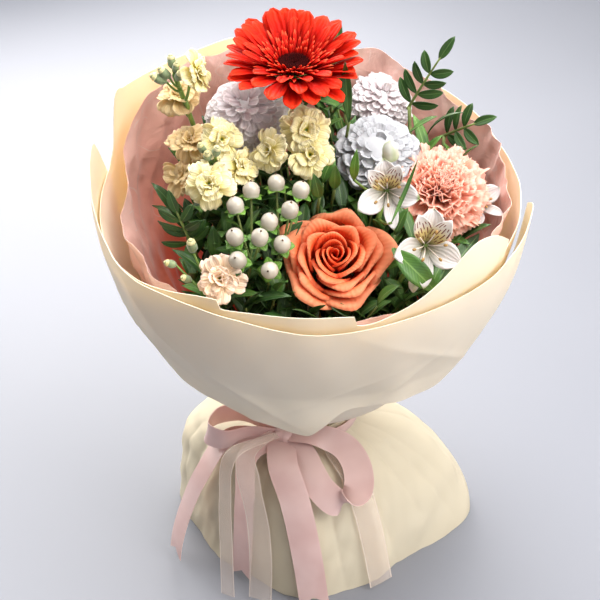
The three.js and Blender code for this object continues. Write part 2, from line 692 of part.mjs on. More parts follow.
// ---------------------------------------------------------------- binding and ribbons
function ring(inner, outer, low, high, sides) {
  const profile = [[inner, low], [outer, low], [outer, high], [inner, high], [inner, low]];
  return turned(profile, sides).translate(AXIS_X, 0, 0);
}

// A ribbon through points, whose breadth lies along across(i) at each of its steps.
function ribbon({ points, width, across, steps = 10, thickness = RIBBON }) {
  const curve = new THREE.CatmullRomCurve3(points, false, 'centripetal');
  const rings = [];
  for (let i = 0; i <= steps; i += 1) {
    const p = curve.getPoint(i / steps);
    const tangent = curve.getTangent(i / steps);
    let breadth = across(p);
    breadth = breadth.addScaledVector(tangent, -breadth.dot(tangent)).normalize();
    const face = tangent.clone().cross(breadth).normalize();
    const half = typeof width === 'function' ? width(i / steps) / 2 : width / 2;
    rings.push([[-1, -1], [1, -1], [1, 1], [-1, 1]].map(([u, v]) => p.clone()
      .addScaledVector(breadth, u * half).addScaledVector(face, v * thickness / 2)));
  }
  return loft(rings);
}

// A point that rides off the skirt at an azimuth and a height, clear of its folds.
function onSkirt(degrees, height, clearance) {
  const at = (row) => skirtRadius(degrees, row);
  let r = at(0);
  for (let row = 0; row < 5; row += 1) {
    if (height >= SKIRT_HEIGHTS[row] && height <= SKIRT_HEIGHTS[row + 1]) {
      const share = (height - SKIRT_HEIGHTS[row]) / (SKIRT_HEIGHTS[row + 1] - SKIRT_HEIGHTS[row]);
      r = at(row) + (at(row + 1) - at(row)) * share;
    }
  }
  r += clearance;
  const lift = height > 80 ? clearance : 0;
  return vec(AXIS_X + r * Math.cos(rad(degrees)), r * Math.sin(rad(degrees)), height + lift);
}

const level = (p) => UP.clone().cross(vec(p.x - AXIS_X, p.y, 0));   // across a ribbon that hangs down

const KNOT_AZIMUTH = 238;
const KNOT_RADIUS = 40.6;
const KNOT_SIZE = 11;
const knotAt = (r, z = TIE_HEIGHT) => vec(
  AXIS_X + r * Math.cos(rad(KNOT_AZIMUTH)), r * Math.sin(rad(KNOT_AZIMUTH)), z,
);

function ribbons() {
  const knot = knotAt(KNOT_RADIUS);
  add('stem_binding', ring(23.4, 24.5, 101, 111, 16), binding);
  const knotBlock = new THREE.BoxGeometry(KNOT_SIZE, 15, KNOT_SIZE).rotateZ(rad(KNOT_AZIMUTH))
    .translate(knot.x, knot.y, knot.z);
  const near = (x, y, z) => knot.clone().add(vec(x, y, z));
  const along = (list) => list.map(([a, h, c]) => onSkirt(a, h, c));
  const tail = (list, width) => ribbon({
    width, points: [near(-1, -1, -2), ...along(list)], across: level, steps: 7,
  });
  const loopWidth = (full) => (t) => 8 + (full - 8) * Math.sin(Math.PI * t) ** 0.6;
  add('satin_ribbon', fuse([
    ring(BAND_RADIUS, BAND_RADIUS + 1.2, 101.5, 110.5, 16),
    knotBlock,
    ribbon({
      width: loopWidth(SATIN_WIDTH),
      points: [near(-3, 2, 0), vec(-60, -36, 109), vec(-79, -42, 109), vec(-91, -34, 109), vec(-86, -21, 111),
        vec(-68, -15, 112), near(-3, 5, 0)],
      across: () => vec(0.2, -0.15, 0.97),
    }),
    ribbon({
      width: loopWidth(SATIN_WIDTH),
      points: [near(2, -3, -1), vec(-18, -50, 104), vec(-12, -66, 100), vec(-4, -79, 92), vec(8, -84, 85),
        vec(21, -76, 88), vec(22, -63, 98), vec(13, -50, 108), vec(-3, -44, 113), near(4, -3, 2)],
      across: () => vec(0.94, 0.2, 0.28),
      steps: 12,
    }),
    tail([[206, 93, 7], [209, 78, 10], [208, 50, 13], [209, 12, 24], [209, 2, 26]], SATIN_WIDTH - 4),
    tail([[226, 93, 7], [234, 78, 6], [237, 50, 5], [237, 4, 5]], SATIN_WIDTH - 5),
    tail([[252, 93, 9], [261, 82, 6], [267, 56, 5], [271, 4, 5]], SATIN_WIDTH),
  ]), satin);
}

// The sheer ribbon has no bow of its own. Two of its tails lie against the knot's face, and one
// comes off the band at the right.
function sheerRibbons() {
  const face = KNOT_RADIUS + KNOT_SIZE / 2 + SEAT_GAP + 0.3;
  const tail = (name, width, pinched, start, list) => add(name, ribbon({
    width: (t) => pinched + (width - pinched) * Math.min(1, t / 0.3),
    points: [start, ...list.map(([a, h, c]) => onSkirt(a, h, c))],
    across: level,
    thickness: SHEER,
    steps: 8,
  }), sheer);
  tail('sheer_tail_middle', SHEER_WIDTH - 2, 7, knotAt(face + 0.15, 111).add(vec(-4.2, 2.6, 0)),
    [[231, 92, 15], [239, 83, 14], [246, 67, 12], [249, 42, 13], [250, 5, 16]]);
  tail('sheer_tail_left', 12, 6, knotAt(face + 1.5, 112.5),
    [[226, 91, 19], [229, 77, 18], [234, 48, 19], [238, 4, 26]]);
  const band = BAND_RADIUS + 1.2 + SEAT_GAP + 0.3;
  const side = rad(288);
  tail('sheer_tail_right', SHEER_WIDTH, 12, vec(AXIS_X + band * Math.cos(side), band * Math.sin(side), 107),
    [[290, 98, 4], [297, 84, 5], [299, 70, 4], [300, 44, 4], [301, 4, 8]]);
}

// ---------------------------------------------------------------- assembly
gerbera();
rose();
carnation();
mum('mum_left', vec(-57, 26, 345), vec(-0.1, -0.45, 0.89), MUM_LEFT_RADIUS, 13);
mum('mum_right', vec(32, 10, 327), vec(0.05, -0.6, 0.8), MUM_RIGHT_RADIUS, 12);
mum('mum_back', vec(38, 74, 334), vec(0.15, -0.5, 0.85), MUM_BACK_RADIUS, 11);

stock('stock_top_left', vec(-96, 12, 362), [
  { place: vec(-88, 2, 384), facing: vec(0.4, -0.5, 0.8) },
  { place: vec(-104, 12, 354), facing: vec(-0.3, -0.7, 0.6) },
], [
  { place: vec(-106, 6, 382), facing: vec(-0.5, -0.2, 0.8), length: 13 },
  { place: vec(-100, 8, 388), facing: vec(-0.1, 0, 1), length: 14 },
  { place: vec(-98, 0, 376), facing: vec(-0.3, -0.5, 0.8), length: 12 },
], [-0.4, -0.5]);
stock('stock_left', vec(-78, -8, 322), [
  { place: vec(-94, 2, 336), facing: vec(-0.3, -0.5, 0.8) },
  { place: vec(-72, -12, 345), facing: vec(0.1, -0.6, 0.8) },
  { place: vec(-98, -6, 315), facing: vec(-0.6, -0.6, 0.5) },
  { place: vec(-79, -38, 327), facing: vec(0, -0.7, 0.7), radius: 14 },
  { place: vec(-60, -20, 330), facing: vec(0.4, -0.6, 0.7), radius: 12 },
], [
  { place: vec(-80, -27, 342), facing: vec(0, -0.5, 0.8), length: 11 },
  { place: vec(-74, -28, 346), facing: vec(0.2, -0.4, 0.9), length: 11 },
  { place: vec(-84, -22, 345), facing: vec(-0.3, -0.3, 0.9), length: 10 },
]);
stock('stock_middle', vec(-14, -6, 334), [
  { place: vec(-17, -8, 350), facing: vec(0.1, -0.6, 0.8), radius: 14.5 },
  { place: vec(-14, -18, 337), facing: vec(0.1, -0.7, 0.7), radius: 14 },
  { place: vec(-40, -14, 338), facing: vec(-0.4, -0.7, 0.6), radius: 13 },
], [], [-0.1, -0.65]);
stock('stock_low_left', vec(-76, -74, 264), [
  { place: vec(-70, -82, 285), facing: vec(0.1, -0.7, 0.7), radius: 15 },
], [
  { place: vec(-104, -68, 286), facing: vec(-0.5, -0.3, 0.8), length: 11 },
  { place: vec(-108, -68, 275), facing: vec(-0.8, -0.3, 0.5), length: 11 },
  { place: vec(-98, -62, 290), facing: vec(-0.3, -0.2, 0.9), length: 10 },
], [-0.4, 0]);

hypericum('hypericum_left', vec(-52, -62, 286), [
  [-62, -50, 319], [-52, -40, 324], [-62, -68, 307], [-46, -70, 308], [-40, -58, 312], [-60, -80, 297],
], [
  { place: vec(-52, -62, 285), facing: vec(-0.3, -0.6, 0.7), turn: 160 },
  { place: vec(-52, -62, 284), facing: vec(0.2, -0.6, 0.7), turn: 250 },
]);
hypericum('hypericum_right', vec(-34, -50, 284), [
  [-20, -44, 327], [-27, -55, 319], [-32, -66, 300], [-40, -80, 289], [-36, -34, 326],
], [
  { place: vec(-34, -50, 281), facing: vec(0.1, -0.4, 0.9), turn: 130, length: 24 },
]);

alstroemeria('alstroemeria_upper', vec(36, -32, 319), vec(-0.05, -0.72, 0.7), 30, [
  { height: 292, heading: 120, length: 30, width: 9, rise: 60, curl: 20 },
], 19);
alstroemeria('alstroemeria_lower', vec(60, -58, 287), vec(0.1, -0.78, 0.62), 90, [
  { height: 262, heading: 262, length: 36, width: 12, rise: 40, curl: 50 },
  { height: 258, heading: 325, length: 44, width: 17, rise: 40, curl: 30 },
], LILY_RADIUS, [-0.2, 1.7]);
alstroemeria('alstroemeria_right', vec(98, 4, 284), vec(0.15, -0.6, 0.75), 60, [], 17);

lentisk('lentisk_upper_right', vec(56, 57, 334), vec(71, 44, 374), 4);
lentisk('lentisk_far_right', vec(81, 49, 315), vec(98, 34, 333), 3);
lentisk('lentisk_low_left', vec(-92, -40, 282), vec(-100, -52, 312), 4, {
  facing: vec(-0.2, -0.7, 0.6), press: [1, -3.7],
});
lentisk('lentisk_back', vec(-1, 76, 332), vec(4, 80, 368), 4, { radius: 2.5 });

paperSheets();
outerSheet();
skirt();
ribbons();
sheerRibbons();

export default bouquet;
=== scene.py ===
import bmesh
import bpy
import mathutils
import numpy as np
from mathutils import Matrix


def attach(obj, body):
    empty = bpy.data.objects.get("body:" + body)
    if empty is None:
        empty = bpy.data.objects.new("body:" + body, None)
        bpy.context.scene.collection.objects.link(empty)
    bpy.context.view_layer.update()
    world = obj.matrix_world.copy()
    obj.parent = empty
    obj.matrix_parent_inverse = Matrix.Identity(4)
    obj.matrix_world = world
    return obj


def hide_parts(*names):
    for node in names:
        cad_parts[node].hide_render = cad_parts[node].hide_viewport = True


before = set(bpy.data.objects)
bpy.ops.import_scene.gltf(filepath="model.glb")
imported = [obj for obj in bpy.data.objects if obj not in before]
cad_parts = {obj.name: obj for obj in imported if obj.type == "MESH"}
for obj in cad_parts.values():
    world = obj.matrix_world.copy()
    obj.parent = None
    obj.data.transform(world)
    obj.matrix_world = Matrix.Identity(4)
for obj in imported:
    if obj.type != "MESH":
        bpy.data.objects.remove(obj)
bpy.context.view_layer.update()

# ---------------------------------------------------------------- camera, floor and light
# The bouquet stands on a plain pale floor under soft studio light: broad lamps high on the right and
# straight above, weaker ones at both sides and in front, and some behind, which shine through the
# paper's rims and light the far floor.
MM = 0.001


def rgb(code):
    """A colour written as six hexadecimal digits, turned from screen values into linear light."""
    c = np.array([int(code[i:i + 2], 16) for i in (0, 2, 4)]) / 255
    return (*np.where(c <= 0.04045, c / 12.92, ((c + 0.055) / 1.055) ** 2.4), 1.0)


def lamp(name, place, target, size, power, colour):
    """A square area lamp at a place in millimetres, turned to face a target."""
    data = bpy.data.lights.new(name, "AREA")
    data.size = size
    data.energy = power
    data.color = rgb(colour)[:3]
    ob = bpy.data.objects.new(name, data)
    bpy.context.scene.collection.objects.link(ob)
    ob.location = np.array(place) * MM
    back = mathutils.Vector(np.array(place, float) - target)
    ob.rotation_euler = back.to_track_quat("Z", "Y").to_euler()


CAMERA_PLACE, CAMERA_TILT, FOCAL_LENGTH = (-0.0207, -0.7023, 0.7230), 53.7, 72
camera_data = bpy.data.cameras.new("camera")
camera_data.lens = FOCAL_LENGTH
camera_data.sensor_width = 36
camera_data.clip_end = 50
camera = bpy.data.objects.new("camera", camera_data)
camera.location = CAMERA_PLACE
camera.rotation_euler = (np.radians(CAMERA_TILT), 0, 0)
bpy.context.scene.collection.objects.link(camera)
bpy.context.scene.camera = camera
bpy.context.scene.view_settings.view_transform = "Standard"

for name, place, target, size, power, colour in (
        ("key_right", (820, -560, 900), (0, 0, 240), 0.6, 8.2, "fffaf4"),
        ("top_soft", (-60, 120, 1450), (0, 0, 280), 0.9, 12, "ffffff"),
        ("top_right", (380, -200, 1050), (-100, 20, 300), 0.6, 6.5, "fffdfa"),
        ("floor_far", (0, 1700, 1200), (0, 1500, 0), 1.4, 22, "ffffff"),
        ("back_top", (0, 350, 1400), (0, 0, 280), 0.9, 12, "ffffff"),
        ("front_soft", (350, -1150, 520), (0, 0, 240), 1.0, 4.5, "fffdfa"),
        ("back_rim", (-300, 900, 650), (0, 0, 280), 0.8, 15, "fffaf2"),
        ("right_side", (1100, -200, 500), (0, 0, 200), 0.8, 3, "ffffff"),
        ("left_side", (-950, 520, 620), (0, 0, 240), 0.8, 12, "fffdf8")):
    lamp(name, place, target, size, power, colour)


def tree_of(tree):
    """A maker of shader nodes in one tree: settings are properties, plain values and sockets go to
    inputs by their order or their name."""
    def make(kind, *ordered, settings=None, **named):
        """Adds one shader node of a kind."""
        node = tree.nodes.new("ShaderNode" + kind)
        for key, value in (settings or {}).items():
            setattr(node, key, value)
        given = list(enumerate(ordered)) + [(k.replace("_", " "), v) for k, v in named.items()]
        for key, value in given:
            if isinstance(value, bpy.types.NodeSocket):
                tree.links.new(value, node.inputs[key])
            elif value is not None:
                node.inputs[key].default_value = value
        return node
    return make


def material(name):
    """An empty node material, its node maker, and a call that sends a shader to its output."""
    made = bpy.data.materials.new(name)
    made.use_nodes = True
    made.node_tree.nodes.clear()
    make = tree_of(made.node_tree)
    output = make("OutputMaterial")
    return made, make, lambda socket: made.node_tree.links.new(socket, output.inputs["Surface"])


def noise(make, scale, detail, **more):
    """Smooth noise in the piece's own coordinates."""
    return make("TexNoise", make("TexCoord").outputs["Object"], Scale=scale, Detail=detail,
                **more).outputs["Fac"]


def ramp(make, factor, stops):
    """A colour that runs through the stops, which are pairs of a position and a colour."""
    node = make("ValToRGB", factor)
    for _ in stops[2:]:
        node.color_ramp.elements.new(0.5)
    for element, (position, colour) in zip(node.color_ramp.elements, stops):
        element.position = position
        element.color = rgb(colour)
    return node.outputs["Color"]


floor_paint, make, send = material("floor_paint")
cloud = ramp(make, noise(make, 1.6, 2), [(0.3, "7a7c84"), (0.7, "82848c")])
send(make("BsdfPrincipled", Base_Color=cloud, Roughness=0.65).outputs[0])
floor_mesh = bpy.data.meshes.new("floor")
floor_mesh.from_pydata([(-4, -3, 0), (4, -3, 0), (4, 5, 0), (-4, 5, 0)], [], [(0, 1, 2, 3)])
floor_mesh.materials.append(floor_paint)
floor = bpy.data.objects.new("floor", floor_mesh)
bpy.context.scene.collection.objects.link(floor)

world = bpy.data.worlds.new("studio")
world.use_nodes = True
sky = world.node_tree.nodes["Background"]
sky.inputs["Color"].default_value = rgb("eceef4")
sky.inputs["Strength"].default_value = 0.22
bpy.context.scene.world = world

# ---------------------------------------------------------------- paper sheets in the wrap
# Three folded sheets of matt cream paper stand inside each other as a bowl, open at the top and
# gathered at the tie. A fourth is glued round the front, with a blunt point over the bow.
AXIS_X = -12.0
TIE_HEIGHT = 106.0
MOUTH_X, MOUTH_FRONT, MOUTH_BACK = 148.0, 125.0, 118.0
PAPER, NECK_RADIUS, SHEET_FOOT = 0.5, 31.7, 100


def smooth(x, xs, ys):
    """A smooth line through given places: between two of them it is the cubic that leaves and
    arrives with the slope of its neighbours. The values may be numbers or points."""
    xs, ys = np.asarray(xs, float), np.asarray(ys, float)
    slope = np.gradient(ys, xs, axis=0)
    i = np.clip(np.searchsorted(xs, x, side="right") - 1, 0, len(xs) - 2)
    step = xs[i + 1] - xs[i]
    t = np.clip((x - xs[i]) / step, 0, 1)
    if ys.ndim > 1:
        step, t = step[..., None], t[..., None]
    return ((2 * t ** 3 - 3 * t ** 2 + 1) * ys[i] + (t ** 3 - 2 * t ** 2 + t) * step * slope[i]
            + (3 * t ** 2 - 2 * t ** 3) * ys[i + 1] + (t ** 3 - t ** 2) * step * slope[i + 1])


def through(pairs, x):
    """The smooth line through (place, value) pairs."""
    xs, ys = zip(*pairs)
    return smooth(x, xs, ys)


def unit(v):
    """A direction of length one."""
    return v / np.linalg.norm(v, axis=-1, keepdims=True)


def cells(rows, columns, wrap):
    """The corners of each cell of a grid, counted row by row, with the place of each corner on the
    grid from 0 to 1. With wrap the last column joins the first."""
    r, c = np.meshgrid(np.arange(rows - 1), np.arange(columns - (not wrap)), indexing="ij")
    r, c = r.ravel(), c.ravel()
    right = (c + 1) % columns
    corners = np.stack([r * columns + c, r * columns + right, (r + 1) * columns + right,
                        (r + 1) * columns + c], 1)
    u = np.stack([c, c + 1, c + 1, c], 1) / (columns - (not wrap))
    v = np.stack([r, r, r + 1, r + 1], 1) / (rows - 1)
    return corners, np.stack([u, v], 2)


def rims(rows, columns, wrap):
    """The loops of points round a grid's open edges, in the sense in which its cells turn."""
    index = np.arange(rows * columns).reshape(rows, columns)
    if wrap:
        return [index[0], index[-1][::-1]]
    return [np.concatenate([index[0, :-1], index[:-1, -1], index[-1, :0:-1], index[:0:-1, 0]])]


def sheet(points, thick, skin, tone=0.5, wrap=False):
    """A part made of sheets: points are sheets by rows by columns, in millimetres. With thick each
    sheet becomes two faces that far apart, and with wrap its last column joins its first. tone is a
    number for each sheet, which its material may read."""
    return {"points": points, "thick": thick, "material": skin, "tone": tone, "wrap": wrap}


def build(name, parts, replaces=(), sharp=None):
    """Puts parts into one mesh object that rides on the root. A thick sheet's faces lie half its
    thickness to both sides of its points, along their normal, and are joined round its rim. The
    attribute tone is the part's, upper is 1 on a sheet's first face and 0 on its other one, and the
    place on the sheet is the UV map."""
    points, faces, uvs, tones, sides, slots, materials = [], [], [], [], [], [], []
    start = 0
    for part in parts:
        grid, wrap, thick = part["points"], part["wrap"], part["thick"]
        count, rows, columns, _ = grid.shape
        corners, uv = cells(rows, columns, wrap)
        if thick:
            if wrap:
                across = np.roll(grid, -1, 2) - np.roll(grid, 1, 2)
            else:
                across = np.gradient(grid, axis=2)
            normal = np.cross(across, np.gradient(grid, axis=1))
            normal /= np.maximum(np.linalg.norm(normal, axis=-1, keepdims=True), 1e-9)
            front, back = grid + normal * thick / 2, grid - normal * thick / 2
            size = rows * columns
            place = np.zeros((size, 2))
            place[corners.ravel()] = uv.reshape(-1, 2)
            all_corners, all_uv = [corners, corners[:, ::-1] + size], [uv, uv[:, ::-1]]
            for rim in rims(rows, columns, wrap):
                after = np.roll(rim, -1)
                all_corners.append(np.stack([after, rim, rim + size, after + size], 1))
                all_uv.append(np.stack([place[after], place[rim], place[rim], place[after]], 1))
            corners, uv = np.concatenate(all_corners), np.concatenate(all_uv)
            flat = np.concatenate([front.reshape(count, -1, 3), back.reshape(count, -1, 3)], 1)
        else:
            flat = grid.reshape(count, -1, 3)
        size = flat.shape[1]
        points.append(flat.reshape(-1, 3))
        faces.append((corners[None] + size * np.arange(count)[:, None, None]).reshape(-1, 4) + start)
        uvs.append(np.tile(uv.reshape(-1, 2), (count, 1)))
        tones.append(np.repeat(np.broadcast_to(part["tone"], (count,)), size))
        sides.append(np.tile(np.arange(size) < rows * columns, count))
        if part["material"] not in materials:
            materials.append(part["material"])
        slots.append(np.full(count * len(corners), materials.index(part["material"])))
        start += count * size
    points, faces = np.concatenate(points) * MM, np.concatenate(faces)
    mesh = bpy.data.meshes.new(name)
    mesh.vertices.add(len(points))
    mesh.vertices.foreach_set("co", points.astype(np.float32).ravel())
    mesh.loops.add(faces.size)
    mesh.loops.foreach_set("vertex_index", faces.astype(np.int32).ravel())
    mesh.polygons.add(len(faces))
    mesh.polygons.foreach_set("loop_start", np.arange(0, faces.size, 4, dtype=np.int32))
    mesh.polygons.foreach_set("material_index", np.concatenate(slots).astype(np.int32))
    mesh.polygons.foreach_set("use_smooth", np.ones(len(faces), bool))
    mesh.update(calc_edges=True)
    mesh.uv_layers.new(name="UVMap").data.foreach_set("uv", np.concatenate(uvs).astype(np.float32).ravel())
    for label, values in (("tone", tones), ("upper", sides)):
        attribute = mesh.attributes.new(label, "FLOAT", "POINT")
        attribute.data.foreach_set("value", np.concatenate(values).astype(np.float32))
    for each in materials:
        mesh.materials.append(each)
    work = bmesh.new()
    work.from_mesh(mesh)
    bmesh.ops.remove_doubles(work, verts=work.verts, dist=2e-6)
    bmesh.ops.dissolve_degenerate(work, edges=work.edges, dist=1e-7)
    work.to_mesh(mesh)
    work.free()
    if sharp:
        mesh.set_sharp_from_angle(angle=np.radians(sharp))
    ob = bpy.data.objects.new(name, mesh)
    bpy.context.scene.collection.objects.link(ob)
    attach(ob, "root")
    if replaces:
        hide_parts(*replaces)
    return ob


NECK = NECK_RADIUS / MOUTH_X
BOWL = [(100, NECK), (113, NECK), (120, 0.26), (132, 0.37), (152, 0.53), (185, 0.7), (225, 0.86),
        (260, 0.945), (290, 0.982), (335, 0.987), (372, 0.967)]
OUTER_BOWL = [(130, 0.53), (150, 0.63), (170, 0.72), (190, 0.79), (216, 0.875), (255, 0.968),
              (287, 0.998), (340, 0.999)]


def ripple(degrees, z, seed, size, longest):
    """Soft unevenness of a sheet: a sum of waves in random directions over azimuth and height,
    the shorter ones lower."""
    rng = np.random.default_rng(seed)
    total = 0
    for wave in longest / np.array([1.0, 1.7, 2.6, 4.1]):
        heading, phase = rng.uniform(0, 2 * np.pi, 2)
        s = np.radians(degrees) * 120 * np.cos(heading) + z * np.sin(heading)
        total = total + size * wave / longest * np.sin(2 * np.pi * s / wave + phase)
    return total


def bowl_point(bowl, degrees, z, inset):
    """A point of the wrap: an ellipse round the axis, deeper in front than behind, whose size is the
    girth at that height, less the inset of the sheet from the outermost one."""
    angle = np.radians(degrees)
    girth = through(bowl, z)
    depth = np.where(np.sin(angle) < 0, MOUTH_FRONT, MOUTH_BACK)
    roundness = np.clip((z - 113) / 87, 0, 1)
    wide = MOUTH_X * girth - inset
    deep = (MOUTH_X + (depth - MOUTH_X) * roundness) * girth - inset
    return np.stack([AXIS_X + wide * np.cos(angle), deep * np.sin(angle), z], -1)


def gathers(degrees, z):
    """Narrow pleats pressed into a sheet at the tie, which die out above it."""
    fade = np.exp(-np.clip(z - TIE_HEIGHT, 0, None) / 26)
    return 0.5 * fade * np.sin(np.radians(degrees) * 23 + 1.3 * np.sin(np.radians(degrees) * 5))


def gap(z):
    """The distance between one sheet and the next, wider above the tie."""
    return np.interp(z, [113, 185], [1.6, 2.4])


def gathered(first, last, rim, layer, per_degree):
    """A sheet from the tie up to its rim, whose height is given at some azimuths. The layer counts
    the sheets from the outermost one inwards, and per_degree the columns to a degree."""
    columns = int((last - first) * per_degree) + 1
    degrees = np.linspace(first, last, columns)[None, :]
    z = SHEET_FOOT + (through(rim, degrees) - SHEET_FOOT) * np.linspace(0, 1, 70)[:, None]
    degrees = degrees + 0 * z
    inset = layer * gap(z) - ripple(degrees, z, 5, 0.5, 90) * np.clip((z - 120) / 60, 0, 1)
    return bowl_point(BOWL, degrees, z, inset - gathers(degrees, z))


def math(make, operation, *values):
    """One step of arithmetic on sockets or numbers."""
    return make("Math", *values, settings={"operation": operation}).outputs[0]


def plus(make, base, value, share):
    """A base and a share of a value, added up."""
    return math(make, "ADD", base, math(make, "MULTIPLY", value, share))


def group_of(name, *sockets):
    """A new node group with its sockets, its node maker, and its input and output nodes."""
    group = bpy.data.node_groups.new(name, "ShaderNodeTree")
    for label, way in sockets:
        group.interface.new_socket(label, in_out=way, socket_type="NodeSocketFloat")
    return group, tree_of(group), group.nodes.new("NodeGroupInput"), group.nodes.new("NodeGroupOutput")


grain_group, make, inside, outside = group_of(
    "paper_grain", ("Crumple", "INPUT"), ("Height", "OUTPUT"), ("Shade", "OUTPUT"))
crease = make("TexVoronoi", make("TexCoord").outputs["Object"], Scale=16,
              settings={"feature": "DISTANCE_TO_EDGE"})
ridge = math(make, "MINIMUM", math(make, "MULTIPLY", crease.outputs["Distance"], 6.0), 1.0)
crumple = math(make, "MULTIPLY", ridge, inside.outputs["Crumple"])
fibre, dimple = noise(make, 900, 3), noise(make, 28, 3, Roughness=0.45)
height = plus(make, math(make, "MULTIPLY", fibre, 0.02), dimple, 0.5)
grain_group.links.new(math(make, "ADD", height, crumple), outside.inputs["Height"])
grain_group.links.new(noise(make, 9, 4), outside.inputs["Shade"])


def grouped(make, group, **inputs):
    """A group node in a material, with its own values."""
    node = make("Group", settings={"node_tree": group})
    for key, value in inputs.items():
        node.inputs[key].default_value = value
    return node


def bumped(make, height, strength, distance):
    """The surface's direction, tipped by a height that counts in metres."""
    return make("Bump", Strength=strength, Distance=distance, Height=height).outputs["Normal"]


def lit_through(make, share, face, colour, normal=None):
    """A face that also lets a share of the light behind it through, in a colour."""
    lit = make("BsdfTranslucent", Color=colour, Normal=normal)
    return make("MixShader", share, face.outputs[0], lit.outputs[0]).outputs[0]


def paper_material(name, light, dark, through_colour, glow, crumple):
    """Matt coated paper: a mottled cream over fine fibre and soft dimples, which lets some of the
    light behind it through, warmer than the light it throws back."""
    made, make, send = material(name)
    grain = grouped(make, grain_group, Crumple=crumple)
    colour = ramp(make, grain.outputs["Shade"], [(0.3, dark), (0.7, light)])
    normal = bumped(make, grain.outputs["Height"], 0.35, 0.0012)
    face = make("BsdfPrincipled", Base_Color=colour, Roughness=0.62, Normal=normal, Specular_IOR_Level=0.35)
    send(lit_through(make, glow, face, rgb(through_colour), normal))
    return made


cream = paper_material("cream_paper", "f7f3e8", "f1ebdd", "fae09a", 0.32, 0.0)


def paper_sheet(name, node, grid):
    """One sheet of the wrap in place of its plain solid."""
    build(name, [sheet(grid[None], PAPER, cream)], [node], sharp=60)


paper_sheet("wrap_back_left", "paper_back_left", gathered(90, 210, [
    (90, 346), (98, 356), (106, 362), (113, 364), (124, 360), (134, 356), (146, 353), (154, 352), (158, 351),
    (159, 347), (160, 336), (161, 322), (164, 306), (170, 297), (182, 288), (195, 279), (210, 270)], 0, 2))
paper_sheet("wrap_front", "paper_front", gathered(195, 330, [
    (195, 262), (210, 272), (225, 278), (240, 286), (244.2, 287), (245, 287), (245.9, 280), (246.7, 280),
    (256, 280.5), (268, 281), (279, 280.5), (280, 280.4), (280.9, 273), (281.7, 272.8), (292, 280),
    (303, 296), (314, 315), (322, 312), (330, 300)], 1, 1.2))
paper_sheet("wrap_back_right", "paper_back_right", gathered(-45, 105, [
    (-45, 270), (-30, 281), (-15, 292), (0, 302), (15, 308), (30, 321), (45, 333), (60, 341), (75, 347),
    (90, 350), (105, 350)], 2, 0.8))


def outer_sheet():
    """The sheet round the front: its azimuth runs over the columns, and its height from the lower
    edge to the upper one over the rows. Three soft dents are bell curves that press it in. Six
    creases stand out: each falls off to both sides of a slanting line and towards its own ends."""
    degrees = np.linspace(165, 360, 176)[None, :]
    lower = through([(165, 196), (185, 192), (204, 188), (218, 180), (233, 178), (245, 174), (257, 166),
                     (264, 160), (268, 159), (274, 171), (280, 184), (287, 188), (303, 183), (324, 184),
                     (340, 190), (360, 200)], degrees)
    upper = through([(165, 296), (172, 322), (180, 334), (188, 322), (196, 303), (207, 287), (217, 281),
                     (234, 281), (249, 278), (262, 273), (274, 271), (285, 274), (297, 278), (306, 280),
                     (318, 284), (330, 289), (338, 295), (346, 302), (353, 299), (360, 290)], degrees)
    z = lower + (upper - lower) * np.linspace(0, 1, 56)[:, None]
    degrees = degrees + 0 * z
    press = ripple(degrees, z, 5, 0.5, 90)
    for at, height, wide, tall, deep in (
            (283, 192, 12, 18, 3.2), (228, 215, 12, 30, 2.0), (305, 205, 9, 30, 2.4)):
        press = press - deep * np.exp(-((degrees - at) / wide) ** 2 - ((z - height) / tall) ** 2)
    for at, height, lean, tall in ((226, 235, 0.35, 2.6), (292, 196, -0.5, 2.6), (243, 205, 0.6, 2.0),
                                   (312, 222, 0.7, 1.6), (262, 188, -0.9, 1.4), (205, 225, 0.8, 1.6)):
        aside = (degrees - at) + (z - height) * lean
        press = press + tall * np.exp(-np.abs(aside) / 3.5) * np.exp(-((z - height) / 34) ** 2)
    return bowl_point(OUTER_BOWL, degrees, z, -press)


paper_sheet("wrap_outer", "paper_outer", outer_sheet())

# ---------------------------------------------------------------- pink film
# A sheet of thin glossy film lines the bowl in wide soft pleats. It was crushed before it went in,
# so it is full of shallow folds and fine crease lines, and the paper's light shows in it. Painted shade
# makes it deep red-orange low in the bowl and pale near the rim, and painted highlights run along
# the crease lines.


def crush(s, z, cell, seed):
    """Crushed film: each point's distance to the nearest of many scattered points, one to each cell
    of a lattice. It makes shallow cones that meet in sharp straight folds."""
    table = np.random.default_rng(seed).uniform(0.1, 0.9, (2, 64, 64))
    x, y = s / cell, z / cell
    best = np.full(np.broadcast(x, y).shape, 9.0)
    for i in (-1, 0, 1):
        for j in (-1, 0, 1):
            cx, cy = np.floor(x) + i, np.floor(y) + j
            px, py = table[:, cx.astype(int) % 64, cy.astype(int) % 64]
            best = np.minimum(best, np.hypot(x - cx - px, y - cy - py))
    return best * cell


